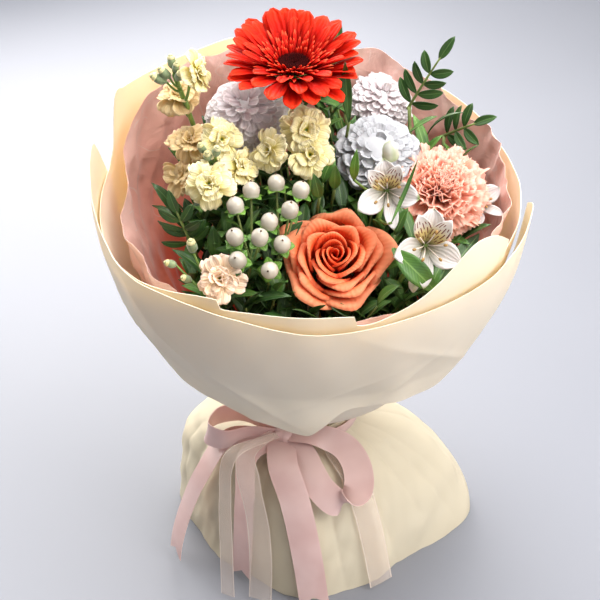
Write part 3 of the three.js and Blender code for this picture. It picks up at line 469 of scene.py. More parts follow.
def film_sheet():
    """The lining: like a paper sheet, but all the way round and pushed inwards: nine soft pleats
    grow from the middle to the rim, and the crush adds shallow folds."""
    degrees = np.linspace(0, 360, 400, endpoint=False)[None, :]
    rim = through([(-10, 298), (0, 309), (12, 319), (28, 326), (36, 332), (43, 338), (51, 345), (60, 353),
                   (68, 358), (76, 360), (90, 360), (108, 363), (120, 364), (131, 360), (141, 353),
                   (149, 347), (158, 335), (165, 317), (171, 301), (178, 290), (188, 280), (200, 272),
                   (216, 267), (240, 264), (276, 263), (300, 268), (324, 282), (350, 298), (360, 309),
                   (372, 319)], degrees)
    rim = rim + 1.2 * np.sin(np.radians(degrees) * 17) + 1.0 * np.sin(np.radians(degrees) * 31 + 1)
    z = SHEET_FOOT + (rim - SHEET_FOOT) * np.linspace(0, 1, 112)[:, None]
    degrees = degrees + 0 * z
    a = np.radians(degrees)
    fade = np.clip((z - 118) / 60, 0, 1)
    s = degrees * 64 / 45 * 1.6
    pleats = 2.2 * (1 + np.sin(9 * a + 1.5 * np.sin(4 * a) + z / 50)) * np.clip((z - 170) / 120, 0, 1)
    fold = 0.3 * crush(s + z * 0.5, (z - s * 0.2) * 0.45, 26, 3) + 0.1 * crush(s - z * 0.3, z * 0.8, 13, 4)
    push = 3.6 * gap(z) + fade * (1.0 + pleats + fold)
    return bowl_point(BOWL, degrees, z, push)


def uv_of(make):
    """The place on a sheet from 0 to 1: across it, and along it from its foot or root."""
    split = make("SeparateXYZ", make("UVMap").outputs["UV"])
    return split.outputs["X"], split.outputs["Y"]


def wandering(make, value, scale, share):
    """A value moved up and down by soft noise."""
    return plus(make, value, math(make, "SUBTRACT", noise(make, scale, 3), 0.5), share)


def off_middle(make, value):
    """How far a value lies from a half."""
    return math(make, "ABSOLUTE", math(make, "SUBTRACT", value, 0.5))


def mixed(make, share, first, second):
    """A share of the second colour over the first one."""
    return make("MixRGB", share, first, second).outputs[0]


film, make, send = material("pink_film")
normal = bumped(make, noise(make, 45, 4, Roughness=0.6, Distortion=1.2), 0.5, 0.003)
rise = wandering(make, uv_of(make)[1], 14, 0.22)
# Painted shade: the film's face, and the light it lets through, run from deep red-orange low in the bowl,
# where shade falls among the flowers, to pale near the rim.
colour = ramp(make, rise, [(0.4, "e8402a"), (0.56, "ff8668"), (0.7, "ffb4a0"), (1.0, "ffd6ca")])
# Painted highlights: thin pale lines along the creases, standing in for glints.
winding = math(make, "LESS_THAN", off_middle(make, noise(make, 34, 1)), 0.007)
crease_highlight = math(make, "MULTIPLY", winding, math(make, "GREATER_THAN", noise(make, 52, 0), 0.52))
colour = mixed(make, math(make, "MULTIPLY", crease_highlight, 0.3), colour, rgb("fff6f2"))
face = make("BsdfPrincipled", Base_Color=colour, Roughness=0.3, Normal=normal, Coat_Weight=0.8,
            Coat_Roughness=0.08, Sheen_Weight=0.7, Sheen_Tint=rgb("ffd8cc"))
send(lit_through(make, 0.1, face, ramp(make, rise, [(0.4, "f08058"), (0.62, "ffcbb8")]), normal))
build("film_lining", [sheet(film_sheet()[None], 0.15, film, wrap=True)], ["pink_film"],
      sharp=60)

# ---------------------------------------------------------------- paper skirt
# Below the tie the same paper puffs out and falls in folds to the table, where it is cut level.
# The folds start as narrow gathers under the band and spread.
SKIRT_NECK = 33.4
HEM = [(-20, 116), (0, 134), (30, 118), (60, 108), (90, 105), (120, 106), (150, 110), (180, 108), (207, 97),
       (234, 93), (252, 98), (270, 105), (290, 99), (316, 97), (340, 116), (360, 134), (390, 118)]
SKIRT_HEIGHTS = [0, 24, 48, 72, 90, 100, 112]
SKIRT_RIGHT = [1, 0.95, 0.86, 0.72, 0.54]
SKIRT_LEFT = [1, 1, 0.99, 0.94, 0.8]


def skirt_radius(degrees, z):
    """Radius of the skirt round the axis: the hem's, times a share that falls with height, faster
    on the right side, and the neck's own radius at the tie."""
    right = (1 + np.cos(np.radians(degrees))) / 2
    hem = through(HEM, degrees % 360)
    rows = [hem * (a + (b - a) * right) for a, b in zip(SKIRT_LEFT, SKIRT_RIGHT)]
    rows += [SKIRT_NECK + 0 * hem] * 2
    table = np.stack(np.broadcast_arrays(*rows), 0)
    low = np.clip(np.searchsorted(SKIRT_HEIGHTS, z, side="right") - 1, 0, 5)
    heights = np.array(SKIRT_HEIGHTS, float)
    share = np.clip((z - heights[low]) / (heights[low + 1] - heights[low]), 0, 1)
    below = np.take_along_axis(table, low[None], 0)[0]
    above = np.take_along_axis(table, low[None] + 1, 0)[0]
    return below + (above - below) * share


def round_axis(radius, azimuth, z):
    """Points at a radius, an azimuth and a height round the wrap's axis."""
    return np.stack(np.broadcast_arrays(AXIS_X + radius * np.cos(azimuth), radius * np.sin(azimuth), z), -1)


def skirt_sheet():
    """The skirt: rows run from the hem up over the puffed shoulder to the neck, and the folds are
    waves of the radius: broad ones below, narrow ones with sharp edges at the neck, and a few long
    ones between, all a little uneven round the girth. Their depths are given at some heights."""
    degrees = np.linspace(0, 360, 420, endpoint=False)[None, :]
    z = SKIRT_HEIGHTS[-1] * (1 - (1 - np.linspace(0, 1, 90)[:, None]) ** 1.25)
    z = z + 0 * degrees
    degrees = degrees + 0 * z
    a = np.radians(degrees)
    kernel = np.hanning(13)
    kernel /= kernel.sum()
    radius = skirt_radius(degrees, z)
    padded = np.concatenate([radius[:1].repeat(6, 0), radius, radius[-1:].repeat(6, 0)])
    radius = np.stack([np.convolve(column, kernel, "valid") for column in padded.T], 1)
    swell = 0.5 + 0.5 * np.sin(8 * a + 0.9 * np.sin(3 * a))
    broad = np.interp(z, SKIRT_HEIGHTS, [5, 5, 4.5, 4, 3.4, 0.4, 0]) * swell
    valley = np.abs(np.sin(6.5 * a + 1.1 * np.sin(3 * a + 1) + z / 70)) ** 0.6
    narrow = np.interp(z, [10, 50, 80, 94, 101, 112], [0, 1.2, 3.4, 3.4, 0.8, 0.4]) * (1 - valley)
    trough = np.abs(np.sin(4.5 * a + 0.9 * np.sin(2 * a + 2) + z / 110)) ** 0.65
    long = np.interp(z, [0, 30, 80, 98], [1, 2.4, 4.2, 0.5]) * (1 - trough)
    facets = 0.05 * crush(degrees * 1.9 + z * 0.3, z, 34, 12) * np.interp(z, [0, 20, 80, 98], [0.4, 1, 1, 0])
    uneven = ripple(degrees, z, 8, 0.7, 60) * np.clip((98 - z) / 30, 0, 1)
    radius = radius - 0.6 * broad - 0.8 * narrow - long - facets + uneven
    return round_axis(radius, a, z + 0.3 * (z < 1))


# The skirt is the same paper as the wrap, but it gets a darker copy of the cream as painted shade.
skirt_paper_shaded = paper_material("skirt_paper_shaded", "dcd3be", "d2c8b0", "fbe6b0", 0.2, 0.06)
build("skirt_folds", [sheet(skirt_sheet()[None], PAPER, skirt_paper_shaded, wrap=True)],
      ["paper_skirt"], sharp=60)

# ---------------------------------------------------------------- stems
# The cut stems are turned in one spiral through the tie, where a binding of twine holds them.
# Each ends square under its bloom, and their cut ends stand on the table.
TIE_GATHER, FOOT_GATHER, SPREAD_HEIGHT, STEM_TURN = 0.145, 0.3, 362.0, -1.75
STEM_LEVELS = np.array([0, 55, 106, 150, 205, 265, 330.0])


def stem_path(top, press=(0, 0)):
    """Places along a stem from its foot to its top: the spoke from the axis to the top, drawn in
    towards the tie, opened again below it, and turned about the axis as it goes down."""
    top = np.asarray(top, float)

    def axis(z):
        """Where the bunch's leaning axis is at a height."""
        return AXIS_X * np.minimum(1, z / TIE_HEIGHT)

    def gather(z):
        """The share of a stem's spoke that is left at a height, least at the tie."""
        above = np.clip((z - TIE_HEIGHT) / (SPREAD_HEIGHT - TIE_HEIGHT), 0, 1)
        upper = TIE_GATHER + (1 - TIE_GATHER) * np.sin(np.pi / 2 * above) ** 1.2
        lower = FOOT_GATHER + (TIE_GATHER - FOOT_GATHER) * np.sin(np.pi / 2 * np.minimum(z / TIE_HEIGHT, 1))
        return np.where(above > 0, upper, lower)

    z = STEM_LEVELS[STEM_LEVELS < top[2] - 12]
    spoke = np.array([top[0] - axis(top[2]), top[1]]) / gather(top[2])
    turn = STEM_TURN * (np.minimum(1, top[2] / SPREAD_HEIGHT) - z / SPREAD_HEIGHT)
    share = np.interp(z, [0, TIE_HEIGHT, 205], [0, 1, 0])
    x = (spoke[0] * np.cos(turn) - spoke[1] * np.sin(turn)) * gather(z) + axis(z) + press[0] * share
    y = (spoke[0] * np.sin(turn) + spoke[1] * np.cos(turn)) * gather(z) + press[1] * share
    return np.concatenate([np.stack([x, y, z], 1), top[None]])


def curve(points, count):
    """A smooth line of count points through given ones, evenly spaced by the chords between them."""
    points = np.asarray(points, float)
    s = np.concatenate([[0], np.cumsum(np.linalg.norm(np.diff(points, axis=0), axis=1))])
    return smooth(np.linspace(0, s[-1], count), s, points)


def tube(path, radius, sides=8):
    """A closed round bar: rings of the radius square to the path, with a point at both ends."""
    path = np.asarray(path, float)
    along = unit(np.gradient(path, axis=0))
    mean = np.abs(along.mean(0))
    reference = np.eye(3)[np.argmin(mean)]
    side = unit(np.cross(along, reference))
    other = np.cross(along, side)
    a = np.linspace(0, 2 * np.pi, sides, endpoint=False)[None, :, None]
    r = np.broadcast_to(radius, (len(path),))[:, None, None]
    rings = path[:, None] + r * (side[:, None] * np.cos(a) + other[:, None] * np.sin(a))
    ends = [np.repeat(path[k][None, None], sides, 1) for k in (0, -1)]
    return np.concatenate([ends[0], rings, ends[1]], 0)[None]


def solid(points, skin, tone=0.5):
    """A closed part: rings of points whose first and last ones have shrunk to a point."""
    return sheet(points, 0, skin, tone, wrap=True)


def stalk(top, radius, tip, press=(0, 0)):
    """A stem's tube, with slight swellings where leaves once grew."""
    path = curve(stem_path(top, press), 48)
    share = np.linspace(0, 1, 48)
    knots = 0.28 * np.exp(-((share[:, None] - np.array([0.52, 0.71, 0.86])) / 0.02) ** 2).sum(1)
    grid = tube(path, radius + (tip - radius) * share + knots)
    grid[0, :2, :, 2] = 0  # cut level with the table
    return grid


def kept(make, label="tone"):
    """The number that build keeps for each sheet or face."""
    return make("Attribute", settings={"attribute_name": label}).outputs["Fac"]


def tint(make, colour, value):
    """A colour made lighter or darker by a value that is 1 where it stays."""
    return make("HueSaturation", Value=value, Color=colour).outputs["Color"]


def leaf_material(name, light, dark, rib):
    """A green blade: darker blotches, a pale rib along its middle, side veins that slant to the tip,
    a waxy face, and a little light let through."""
    made, make, send = material(name)
    u, v = uv_of(make)
    off = off_middle(make, u)
    slant = math(make, "SUBTRACT", v, math(make, "MULTIPLY", off, 0.5))
    vein = math(make, "SINE", math(make, "MULTIPLY", slant, 85.0))
    body = ramp(make, plus(make, noise(make, 60, 3), vein, 0.05), [(0.3, dark), (0.75, light)])
    middle = math(make, "LESS_THAN", off, 0.035)
    colour = mixed(make, math(make, "MULTIPLY", middle, 0.6), body, rgb(rib))
    colour = tint(make, colour, plus(make, 0.72, kept(make), 0.56))
    height = math(make, "SUBTRACT", math(make, "MULTIPLY", vein, 0.12), middle)
    normal = bumped(make, height, 0.5, 0.0004)
    face = make("BsdfPrincipled", Base_Color=colour, Roughness=0.42, Normal=normal)
    send(lit_through(make, 0.16, face, rgb(light), normal))
    return made


def plain_material(name, light, dark, scale, rough, glow=0.0, lit_colour=None, sheen=0.0, shine=0.5):
    """A finely mottled surface, for stems, berries, buds and discs."""
    made, make, send = material(name)
    mottle = noise(make, scale, 4)
    colour = tint(make, ramp(make, mottle, [(0.3, dark), (0.7, light)]), plus(make, 0.85, kept(make), 0.3))
    normal = bumped(make, mottle, 0.4, 0.0003)
    face = make("BsdfPrincipled", Base_Color=colour, Roughness=rough, Normal=normal, Sheen_Weight=sheen,
                Specular_IOR_Level=shine)
    send(lit_through(make, glow, face, rgb(lit_colour or light), normal) if glow else face.outputs[0])
    return made


stem_green = plain_material("stem_green", "86a24c", "5c7a34", 120, 0.5)


def facing_turn(facing):
    """The rotation that turns up to the facing by the shortest way."""
    f = unit(np.asarray(facing, float))
    x, y, z = f
    return np.array([[1 - x * x / (1 + z), -x * y / (1 + z), x],
                     [-x * y / (1 + z), 1 - y * y / (1 + z), y],
                     [-x, -y, z]])


def placed(points, place, facing, turn=0):
    """Points made round the origin and looking up, turned to the facing and moved to the place."""
    a = np.radians(turn)
    about = np.array([[np.cos(a), -np.sin(a), 0], [np.sin(a), np.cos(a), 0], [0, 0, 1]])
    return points @ (facing_turn(facing) @ about).T + np.asarray(place, float)


def put(parts, place, facing, turn=0):
    """Turns and moves all points of the parts, as placed does, and gives the parts back."""
    for part in parts:
        part["points"] = placed(part["points"], place, facing, turn)
    return parts


def behind(place, facing, distance):
    """The point that lies a distance behind a place, against its facing."""
    return np.asarray(place, float) - unit(np.asarray(facing, float)) * distance


def stem_under(name, place, facing, drop, radius):
    """The stem of a bloom, up to the drop below the bloom's place along its facing."""
    top = behind(place, facing, drop + 0.35)
    build(name + "_stalk", [solid(stalk(top, radius, radius * 0.92), stem_green)],
          [name + "_stem"])


binding_twine = plain_material("binding_twine", "b7ab72", "8a7f4e", 300, 0.85, sheen=0.2)


def twine():
    """The binding: one strand wound round the stems, a ring that climbs a little with each turn."""
    turns, radius, strand = 6, 23.95, 0.62
    a = np.linspace(0, 2 * np.pi * turns, 60 * turns)
    path = round_axis(radius, a, 102 + 8 * a / a[-1])
    along = unit(np.gradient(path, axis=0))
    out = unit(np.stack([np.cos(a), np.sin(a), 0 * a], 1))
    other = np.cross(along, out)
    b = np.linspace(0, 2 * np.pi, 6, endpoint=False)[None, :, None]
    rings = path[:, None] + strand * (out[:, None] * np.cos(b) + other[:, None] * np.sin(b))
    ends = [np.repeat(path[k][None, None], 6, 1) for k in (0, -1)]
    return np.concatenate([ends[0], rings, ends[1]], 0)[None]


build("twine_binding", [solid(twine(), binding_twine)], ["stem_binding"])

# ---------------------------------------------------------------- gerbera
# One large red flower with a dark eye. Broad ray petals in three rows stand round a dense ring of
# short narrow ones, which lean over the disc of tiny dark florets.
GOLDEN_ANGLE = 137.508


def for_each(shape, *values):
    """Values as one number for each petal, the same over the petal's rows and columns."""
    return [np.broadcast_to(value, shape)[:, None, None] for value in values]


def petals(turn, length, width, outline, root=0.0, lift=0.0, rise=0.0, curl=0.0, cup=0.0, ruffle=0.0,
           waves=2.0, phase=0.0, teeth=0.0, tooth_count=8, twist=0.0, rows=9, columns=5, spoon=0.0):
    """Petals round the Z axis, one for each turn in degrees. The midline starts at root from the axis
    and lift above the origin, climbs at rise degrees and bends down by curl degrees on its way.
    outline gives the share of the width from root to tip. cup lifts the edges with the square of
    their distance from the midline, spoon bends the last third back up, ruffle waves the edge,
    teeth notch the tip, and twist turns the petal about its midline."""
    turn = np.radians(np.asarray(turn, float))
    length, width, root, lift, rise, curl, cup, ruffle, phase, twist, spoon = for_each(
        turn.shape, length, width, root, lift, rise, curl, cup, ruffle, phase, twist, spoon)
    v = np.linspace(0, 1, rows)[None, :, None]
    u = np.linspace(-1, 1, columns)[None, None, :]
    angle = np.radians(rise - curl * v + spoon * np.clip(v - 0.66, 0, 1) * 3)
    middle = (angle[:, 1:] + angle[:, :-1]) / 2
    step = length / (rows - 1)
    zero = np.zeros_like(middle[:, :1])
    out = root + np.concatenate([zero, np.cumsum(np.cos(middle) * step, 1)], 1)
    up = lift + np.concatenate([zero, np.cumsum(np.sin(middle) * step, 1)], 1)
    half = width / 2 * outline(v)
    notch = -teeth * v ** 6 * np.abs((u * tooth_count / 2 + phase) % 1 - 0.5) * 2
    side = half * u
    edge = 0.35 + 0.65 * np.abs(u)
    off = half * cup * u ** 2 + ruffle * v ** 1.5 * np.sin(np.pi * waves * u + phase * 6) * edge
    t = np.radians(twist) * v
    side, off = side * np.cos(t) - off * np.sin(t), side * np.sin(t) + off * np.cos(t)
    r = out - np.sin(angle) * off + np.cos(angle) * notch
    z = up + np.cos(angle) * off + np.sin(angle) * notch
    around = turn[:, None, None]
    return np.stack([r * np.cos(around) - side * np.sin(around), r * np.sin(around) + side * np.cos(around),
                     z + 0 * side], -1)


def outline(*pairs):
    """The share of a petal's width from its root (0) to its tip (1), smooth through the pairs."""
    return lambda v: np.clip(through(pairs, v), 0.01, None)


FULL_TURN = 6.2832
vein_group, make, inside, outside = group_of(
    "petal_veins", ("Count", "INPUT"), ("Height", "OUTPUT"), ("Shade", "OUTPUT"))
centred, drift = math(make, "SUBTRACT", uv_of(make)[0], 0.5), noise(make, 140, 2)
bent = plus(make, math(make, "MULTIPLY", centred, inside.outputs["Count"]), drift, 0.7)
wave = math(make, "SINE", math(make, "MULTIPLY", bent, FULL_TURN))
half_wave = math(make, "MULTIPLY", wave, 0.5)
vein_group.links.new(plus(make, half_wave, drift, 0.6), outside.inputs["Height"])
vein_group.links.new(math(make, "ADD", half_wave, 0.5), outside.inputs["Shade"])


def petal_material(name, stops, glow=0.28, lit_colour=None, veins=10, vein_shade=0.05, spread=0.2,
                   depth=0.00025, shine=0.35):
    """A petal: its colour runs from root to tip through the stops, with fine long veins, soft
    blotches, a lightness of its own for each petal, and light let through."""
    made, make, send = material(name)
    colour = ramp(make, wandering(make, uv_of(make)[1], 90, 0.24), stops)
    vein = grouped(make, vein_group, Count=float(veins))
    value = plus(make, 1 - spread / 2 - vein_shade / 2, kept(make), spread)
    colour = tint(make, colour, plus(make, value, vein.outputs["Shade"], vein_shade))
    normal = bumped(make, vein.outputs["Height"], 0.6, depth)
    face = make("BsdfPrincipled", Base_Color=colour, Roughness=0.5, Normal=normal, Specular_IOR_Level=shine)
    send(lit_through(make, glow, face, rgb(lit_colour) if lit_colour else colour, normal))
    return made


def jitter(rng, count, size):
    """Random numbers either side of zero."""
    return rng.uniform(-size, size, count)


def even(count):
    """Even steps round the axis, in degrees."""
    return 360 * np.arange(count) / count


rng = np.random.default_rng(21)
GERBERA_PLACE, GERBERA_FACING = (-25, 25, 378), (0, -0.08, 1)
# Both reds run from near black at the petal root to bright at the tip: a deeper red of their own at the
# root, darkened further as painted shade under the short petals and round the disc.
gerbera_red = petal_material(
    "gerbera_red", [(0.0, "480303"), (0.35, "9c0a06"), (0.65, "cc1c0e"), (1.0, "e23a1a")],
    glow=0.24, lit_colour="f83a1c", veins=3, vein_shade=0.2, spread=0.34, depth=0.0008, shine=0.12)
gerbera_short = petal_material(
    "gerbera_short", [(0.0, "4c0404"), (0.45, "a80c06"), (0.8, "d42010"), (1.0, "f4603a")],
    glow=0.14, veins=2, spread=0.3, shine=0.12)
gerbera_eye = plain_material("gerbera_eye", "4a0808", "120202", 700, 0.9, shine=0.1)
ray = outline((0, 0.34), (0.3, 0.72), (0.62, 1.0), (0.85, 0.93), (0.95, 0.66), (1, 0.22))
needle = outline((0, 0.6), (0.5, 1.0), (0.85, 0.7), (1, 0.15))
parts = []
for count, root, lift, length, rise, curl, width in (
        (19, 14, -2.5, 36, 33, 14, 12.4), (18, 13.4, -1, 34, 41, 18, 11), (13, 13, 0.5, 27, 50, 24, 8.2)):
    turn = even(count) + jitter(rng, count, 3.2) + 7 * root
    rise = rise + 21 * np.sin(np.radians(turn))  # the far petals stand up and the near ones droop
    grid = petals(turn, length * (1 + jitter(rng, count, 0.05)), width, ray, root=root, lift=lift,
                  rise=rise + jitter(rng, count, 5), curl=curl + jitter(rng, count, 9),
                  cup=0.24 + jitter(rng, count, 0.12), twist=jitter(rng, count, 12), rows=11, columns=7)
    parts.append(sheet(grid, 0.4, gerbera_red, rng.uniform(0, 1, count)))
for count, root, lift, length, rise, width in (
        (36, 13, 0.5, 19, 44, 3.0), (38, 12.2, 1.4, 16.5, 52, 2.7),
        (38, 11.4, 2.2, 12.5, 60, 2.3), (36, 10.2, 2.8, 8, 72, 2.0)):
    turn = even(count) + jitter(rng, count, 4) + 11 * root
    rise = rise + 14 * np.sin(np.radians(turn))
    grid = petals(turn, length * (1 + jitter(rng, count, 0.18)), width, needle, root=root, lift=lift,
                  rise=rise + jitter(rng, count, 8), curl=12, cup=0.5, twist=jitter(rng, count, 20), rows=6,
                  columns=3)
    parts.append(sheet(grid, 0.35, gerbera_short, rng.uniform(0, 1, count)))


def turned(profile, sides=16):
    """A surface of revolution about Z from (radius, height) pairs."""
    r, z = np.array(profile, float).T[:, :, None]
    a = np.linspace(0, 2 * np.pi, sides, endpoint=False)[None, :]
    return np.stack([r * np.cos(a), r * np.sin(a), z + 0 * a], -1)[None]


def lathe(pairs, count=9, sides=16):
    """A surface of revolution whose outline is smooth through (height, radius) pairs."""
    z = np.linspace(pairs[0][0], pairs[-1][0], count)
    return turned(np.stack([np.clip(through(pairs, z), 0, None), z], 1), sides)


receptacle = turned([[0, -13], [5, -13], [9, -9.5], [12, -5.5], [12.4, -3], [10.6, -0.6], [0, 0.6]])
parts.append(solid(receptacle, stem_green))
build("gerbera_flower", put(parts, GERBERA_PLACE, GERBERA_FACING), ["gerbera_petals"])
DISC_RADIUS, DISC_FLORETS = 11, 210
spot = np.arange(DISC_FLORETS) + 0.5
radius = 10.4 * np.sqrt(spot / DISC_FLORETS)
out = radius / DISC_RADIUS
crown = 1.8 + 2.6 * np.sin(np.pi * np.clip(out, 0, 1) * 0.72)
buttons = petals(spot * GOLDEN_ANGLE, 1.9 + 0.8 * radius / DISC_RADIUS, 1.5, needle, root=radius,
                 lift=crown - 0.3, rise=92, curl=8, cup=0.6, rows=3, columns=3)
disc_base = turned([[0, 1.2], [10.6, 1.2], [10.9, 2.2], [9.0, 3.8], [6, 4.2], [3, 3.0], [0, 2.0]])
parts = [solid(disc_base, gerbera_eye), sheet(buttons, 0.35, gerbera_eye, np.clip(out, 0, 1))]
build("gerbera_eye", put(parts, GERBERA_PLACE, GERBERA_FACING), ["gerbera_disc"])
stem_under("gerbera", GERBERA_PLACE, GERBERA_FACING, 13, 3.1)

# ---------------------------------------------------------------- rose
# An open garden rose: orange petals wrapped round a rolled heart in rings, each tucked behind its
# neighbour, with their top edges rolled outward. The heart and the petal roots are a deeper red, partly
# their own and partly painted shade in the depth of the cup.
rng = np.random.default_rng(5)
ROSE_PLACE, ROSE_FACING, ROSE_DEPTH = (2.4, -60, 291), (0.04, -0.6, 0.8), 40
rose_orange, make, send = material("rose_orange")
along = wandering(make, uv_of(make)[1], 90, 0.16)
# Both ramps are darkest at the petal root and the heart ring darkest of all: partly the rose's own deeper
# red, partly painted shade in the depth of the cup.
heart = ramp(make, along, [(0.0, "c82410"), (0.6, "ee4420"), (0.9, "f66a36"), (1.0, "fb9c6c")])
cup = ramp(make, along, [(0.0, "da3e18"), (0.45, "f0602a"), (0.78, "f88650"), (1.0, "fcae82")])
colour = mixed(make, math(make, "MULTIPLY", kept(make, "upper"), 0.25), mixed(make, kept(make), heart, cup),
               rgb("ff9048"))
vein = grouped(make, vein_group, Count=16.0)
normal = bumped(make, vein.outputs["Height"], 0.6, 0.0003)
face = make("BsdfPrincipled", Base_Color=colour, Roughness=0.55, Normal=normal, Specular_IOR_Level=0.3)
send(lit_through(make, 0.32, face, rgb("ff7a3c"), normal))


def rose_petals(centre, half, foot, reach, height, roll, tuck, wave, point):
    """Petals that wrap round the axis: azimuth runs over the columns from centre - half to centre +
    half, and the radius grows from foot to reach over the rows and a little from one side to the
    other, so that each tucks behind the next. Above three quarters of its height the petal turns
    along an arc outward and down; the arc is widest in the middle, where point adds a small tip."""
    centre, half, foot, reach, height, roll, tuck, wave, point = for_each(
        np.shape(centre), centre, half, foot, reach, height, roll, tuck, wave, point)
    v = np.linspace(0, 1, 16)[None, :, None] ** 0.9
    u = np.linspace(-1, 1, 19)[None, None, :]
    azimuth = centre + half * u * np.interp(v, [0, 0.3, 0.75, 1], [0.5, 0.84, 1.0, 0.9])
    swell = np.interp(v, [0, 0.12, 0.35, 0.7, 1], [0, 0.5, 0.84, 0.97, 1.0])
    edge = np.abs(u) ** 2.2
    turn = np.clip((v - 0.74) / 0.26, 0, 1) * np.pi * 0.56 * (1 - 0.25 * edge)
    size = roll * (1 - 0.35 * edge) + point * np.exp(-(u / 0.26) ** 2)
    radius = foot + (reach - foot) * swell + tuck * u + size * (1 - np.cos(turn)) * 0.95
    lip = np.clip((v - 0.6) / 0.4, 0, 1)
    radius = radius + wave * lip * np.sin(4 * u + 3 * centre)
    z = height * np.minimum(v / 0.74, 1) * (1 - 0.3 * edge * v) + size * (np.sin(turn) - 0.15 * turn)
    z = z + 0.6 * wave * lip * np.sin(6 * u + 2 * centre)
    a = azimuth + 0 * radius
    return np.stack([radius * np.cos(a), radius * np.sin(a), z + 0 * a], -1)


parts = []
rose_rings = (  # count, half-width in turns, foot, reach, height, roll, tuck, wave, point, tone
    (2, 0.70, 0.6, 2.6, 35.5, 0.5, 1.1, 0.1, 0.0, 0.0),
    (2, 0.60, 1.2, 5.2, 36.5, 0.8, 1.3, 0.2, 0.1, 0.05),
    (3, 0.44, 1.8, 8.2, 37.0, 1.0, 1.5, 0.3, 0.4, 0.15),
    (3, 0.41, 2.4, 11.8, 37.0, 1.5, 2.2, 0.6, 0.8, 0.3),
    (4, 0.36, 3.0, 15.6, 36.0, 2.4, 2.4, 0.9, 1.4, 0.5),
    (4, 0.33, 4.0, 19.8, 34.0, 3.6, 2.6, 1.2, 2.0, 0.7),
    (5, 0.29, 5.0, 24.2, 31.0, 5.0, 2.4, 1.4, 2.6, 0.85),
    (5, 0.27, 6.0, 27.6, 26.5, 6.4, 2.2, 1.5, 3.2, 0.95),
)
for ring, (count, half, foot, reach, height, roll, tuck, wave, point, tone) in enumerate(rose_rings):
    centre = 2 * np.pi * np.arange(count) / count + 2.4 * ring + 0.9 + jitter(rng, count, 0.2)
    lower = 0.5 - 0.5 * np.sin(centre)  # petals on the near side reach a little further out
    grid = rose_petals(centre, np.pi * half * (1 + jitter(rng, count, 0.08)), foot,
                       reach * (0.97 + 0.08 * lower * ring / 7 + jitter(rng, count, 0.04)),
                       height - 2.0 * lower * ring / 7 + jitter(rng, count, 2.2),
                       roll * (1 + jitter(rng, count, 0.35)), tuck, wave, point)
    parts.append(sheet(grid, 0.4, rose_orange, np.clip(tone + jitter(rng, count, 0.1), 0, 1)))
sepal = outline((0, 0.7), (0.35, 1.0), (0.8, 0.45), (1, 0.05))
parts.append(sheet(petals(even(5) + 20, 24, 7, sepal, root=6.5, lift=-1, rise=40, curl=70, cup=-0.2, rows=8),
                   0.4, stem_green))
parts.append(solid(lathe([(-7, 0), (-6.6, 3.4), (-3, 6), (2, 9), (7, 10.5), (9, 0)], 12), stem_green))
rose_base = behind(ROSE_PLACE, ROSE_FACING, ROSE_DEPTH)
build("rose_flower", put(parts, rose_base, ROSE_FACING), ["rose_bloom"])
stem_under("rose", rose_base, ROSE_FACING, 7, 2.6)

# ---------------------------------------------------------------- carnation
# A full pale pink carnation: fan-shaped petals with toothed edges, crumpled against each other in
# a dome over a green tube.
rng = np.random.default_rng(9)
CARNATION_PLACE, CARNATION_FACING, CARNATION_DEPTH = (77, -15, 317), (0.16, -0.5, 0.85), 27
carnation_pink = petal_material(
    "carnation_pink", [(0.0, "fba884"), (0.4, "ffbca0"), (0.75, "ffcab4"), (1.0, "ffd4c4")],
    glow=0.44, lit_colour="ffd0b8", veins=12, vein_shade=0.05, spread=0.16)
fan = outline((0, 0.14), (0.4, 0.45), (0.75, 0.86), (1, 1.0))
parts = []
for count, length, rise, curl, width, lift in (
        (10, 33.5, 24, 32, 29, 1), (10, 31, 38, 30, 27, 2), (10, 30, 49, 27, 25, 3),
        (10, 29, 59, 23, 22, 3), (10, 28.5, 68, 17, 19, 3), (9, 28.5, 76, 12, 17, 3), (8, 29, 83, 6, 15, 3),
        (8, 29, 89, 0, 14, 3), (6, 28, 88, -6, 12, 3)):
    turn = even(count) + jitter(rng, count, 9) + 31 * lift + length * 7
    grid = petals(turn, length * (1 + jitter(rng, count, 0.05)), width, fan, root=2.0, lift=lift,
                  rise=rise + jitter(rng, count, 7), curl=curl + jitter(rng, count, 10),
                  cup=0.1 + jitter(rng, count, 0.3), ruffle=2.9 + jitter(rng, count, 0.9), waves=2.6,
                  phase=rng.uniform(0, 1, count), teeth=1.7, tooth_count=9, twist=jitter(rng, count, 25),
                  rows=9, columns=23)
    parts.append(sheet(grid, 0.3, carnation_pink, rng.uniform(0, 1, count)))
parts.append(solid(lathe([(-17, 0), (-16.6, 5), (-10, 6.6), (-3, 7.4), (3, 9), (6, 0)], 12), stem_green))
carnation_base = behind(CARNATION_PLACE, CARNATION_FACING, CARNATION_DEPTH)
build("carnation_flower", put(parts, carnation_base, CARNATION_FACING),
      ["carnation_bloom"])
stem_under("carnation", carnation_base, CARNATION_FACING, 17, 2.6)

# ---------------------------------------------------------------- chrysanthemums
# Three white chrysanthemums. Short spoon-shaped petals cover a dome so densely that its core never
# shows, and longer ones spread round its foot.
# Both mum colours darken towards the petal root, where the petals crowd: painted shade. The second is a
# darker grey copy of the white for the right bloom, which stands in shade: painted shade as well.
mum_white = petal_material("mum_white", [(0.0, "c8b8bc"), (0.35, "dcd2d6"), (1.0, "e6e2e4")], glow=0.34,
                           lit_colour="fff6f4", veins=3, vein_shade=0.05, spread=0.16)
mum_white_shaded = petal_material("mum_white_shaded", [(0.0, "8c8c92"), (0.4, "a8a8ac"), (1.0, "bebfc3")], glow=0.22,
                          lit_colour="f2f2f8", veins=4, vein_shade=0.05, spread=0.16)
spoon_shape = outline((0, 0.55), (0.35, 0.8), (0.7, 1.0), (0.88, 0.96), (0.96, 0.7), (1, 0.3))
strap_shape = outline((0, 0.4), (0.4, 0.85), (0.8, 1.0), (0.94, 0.75), (1, 0.2))


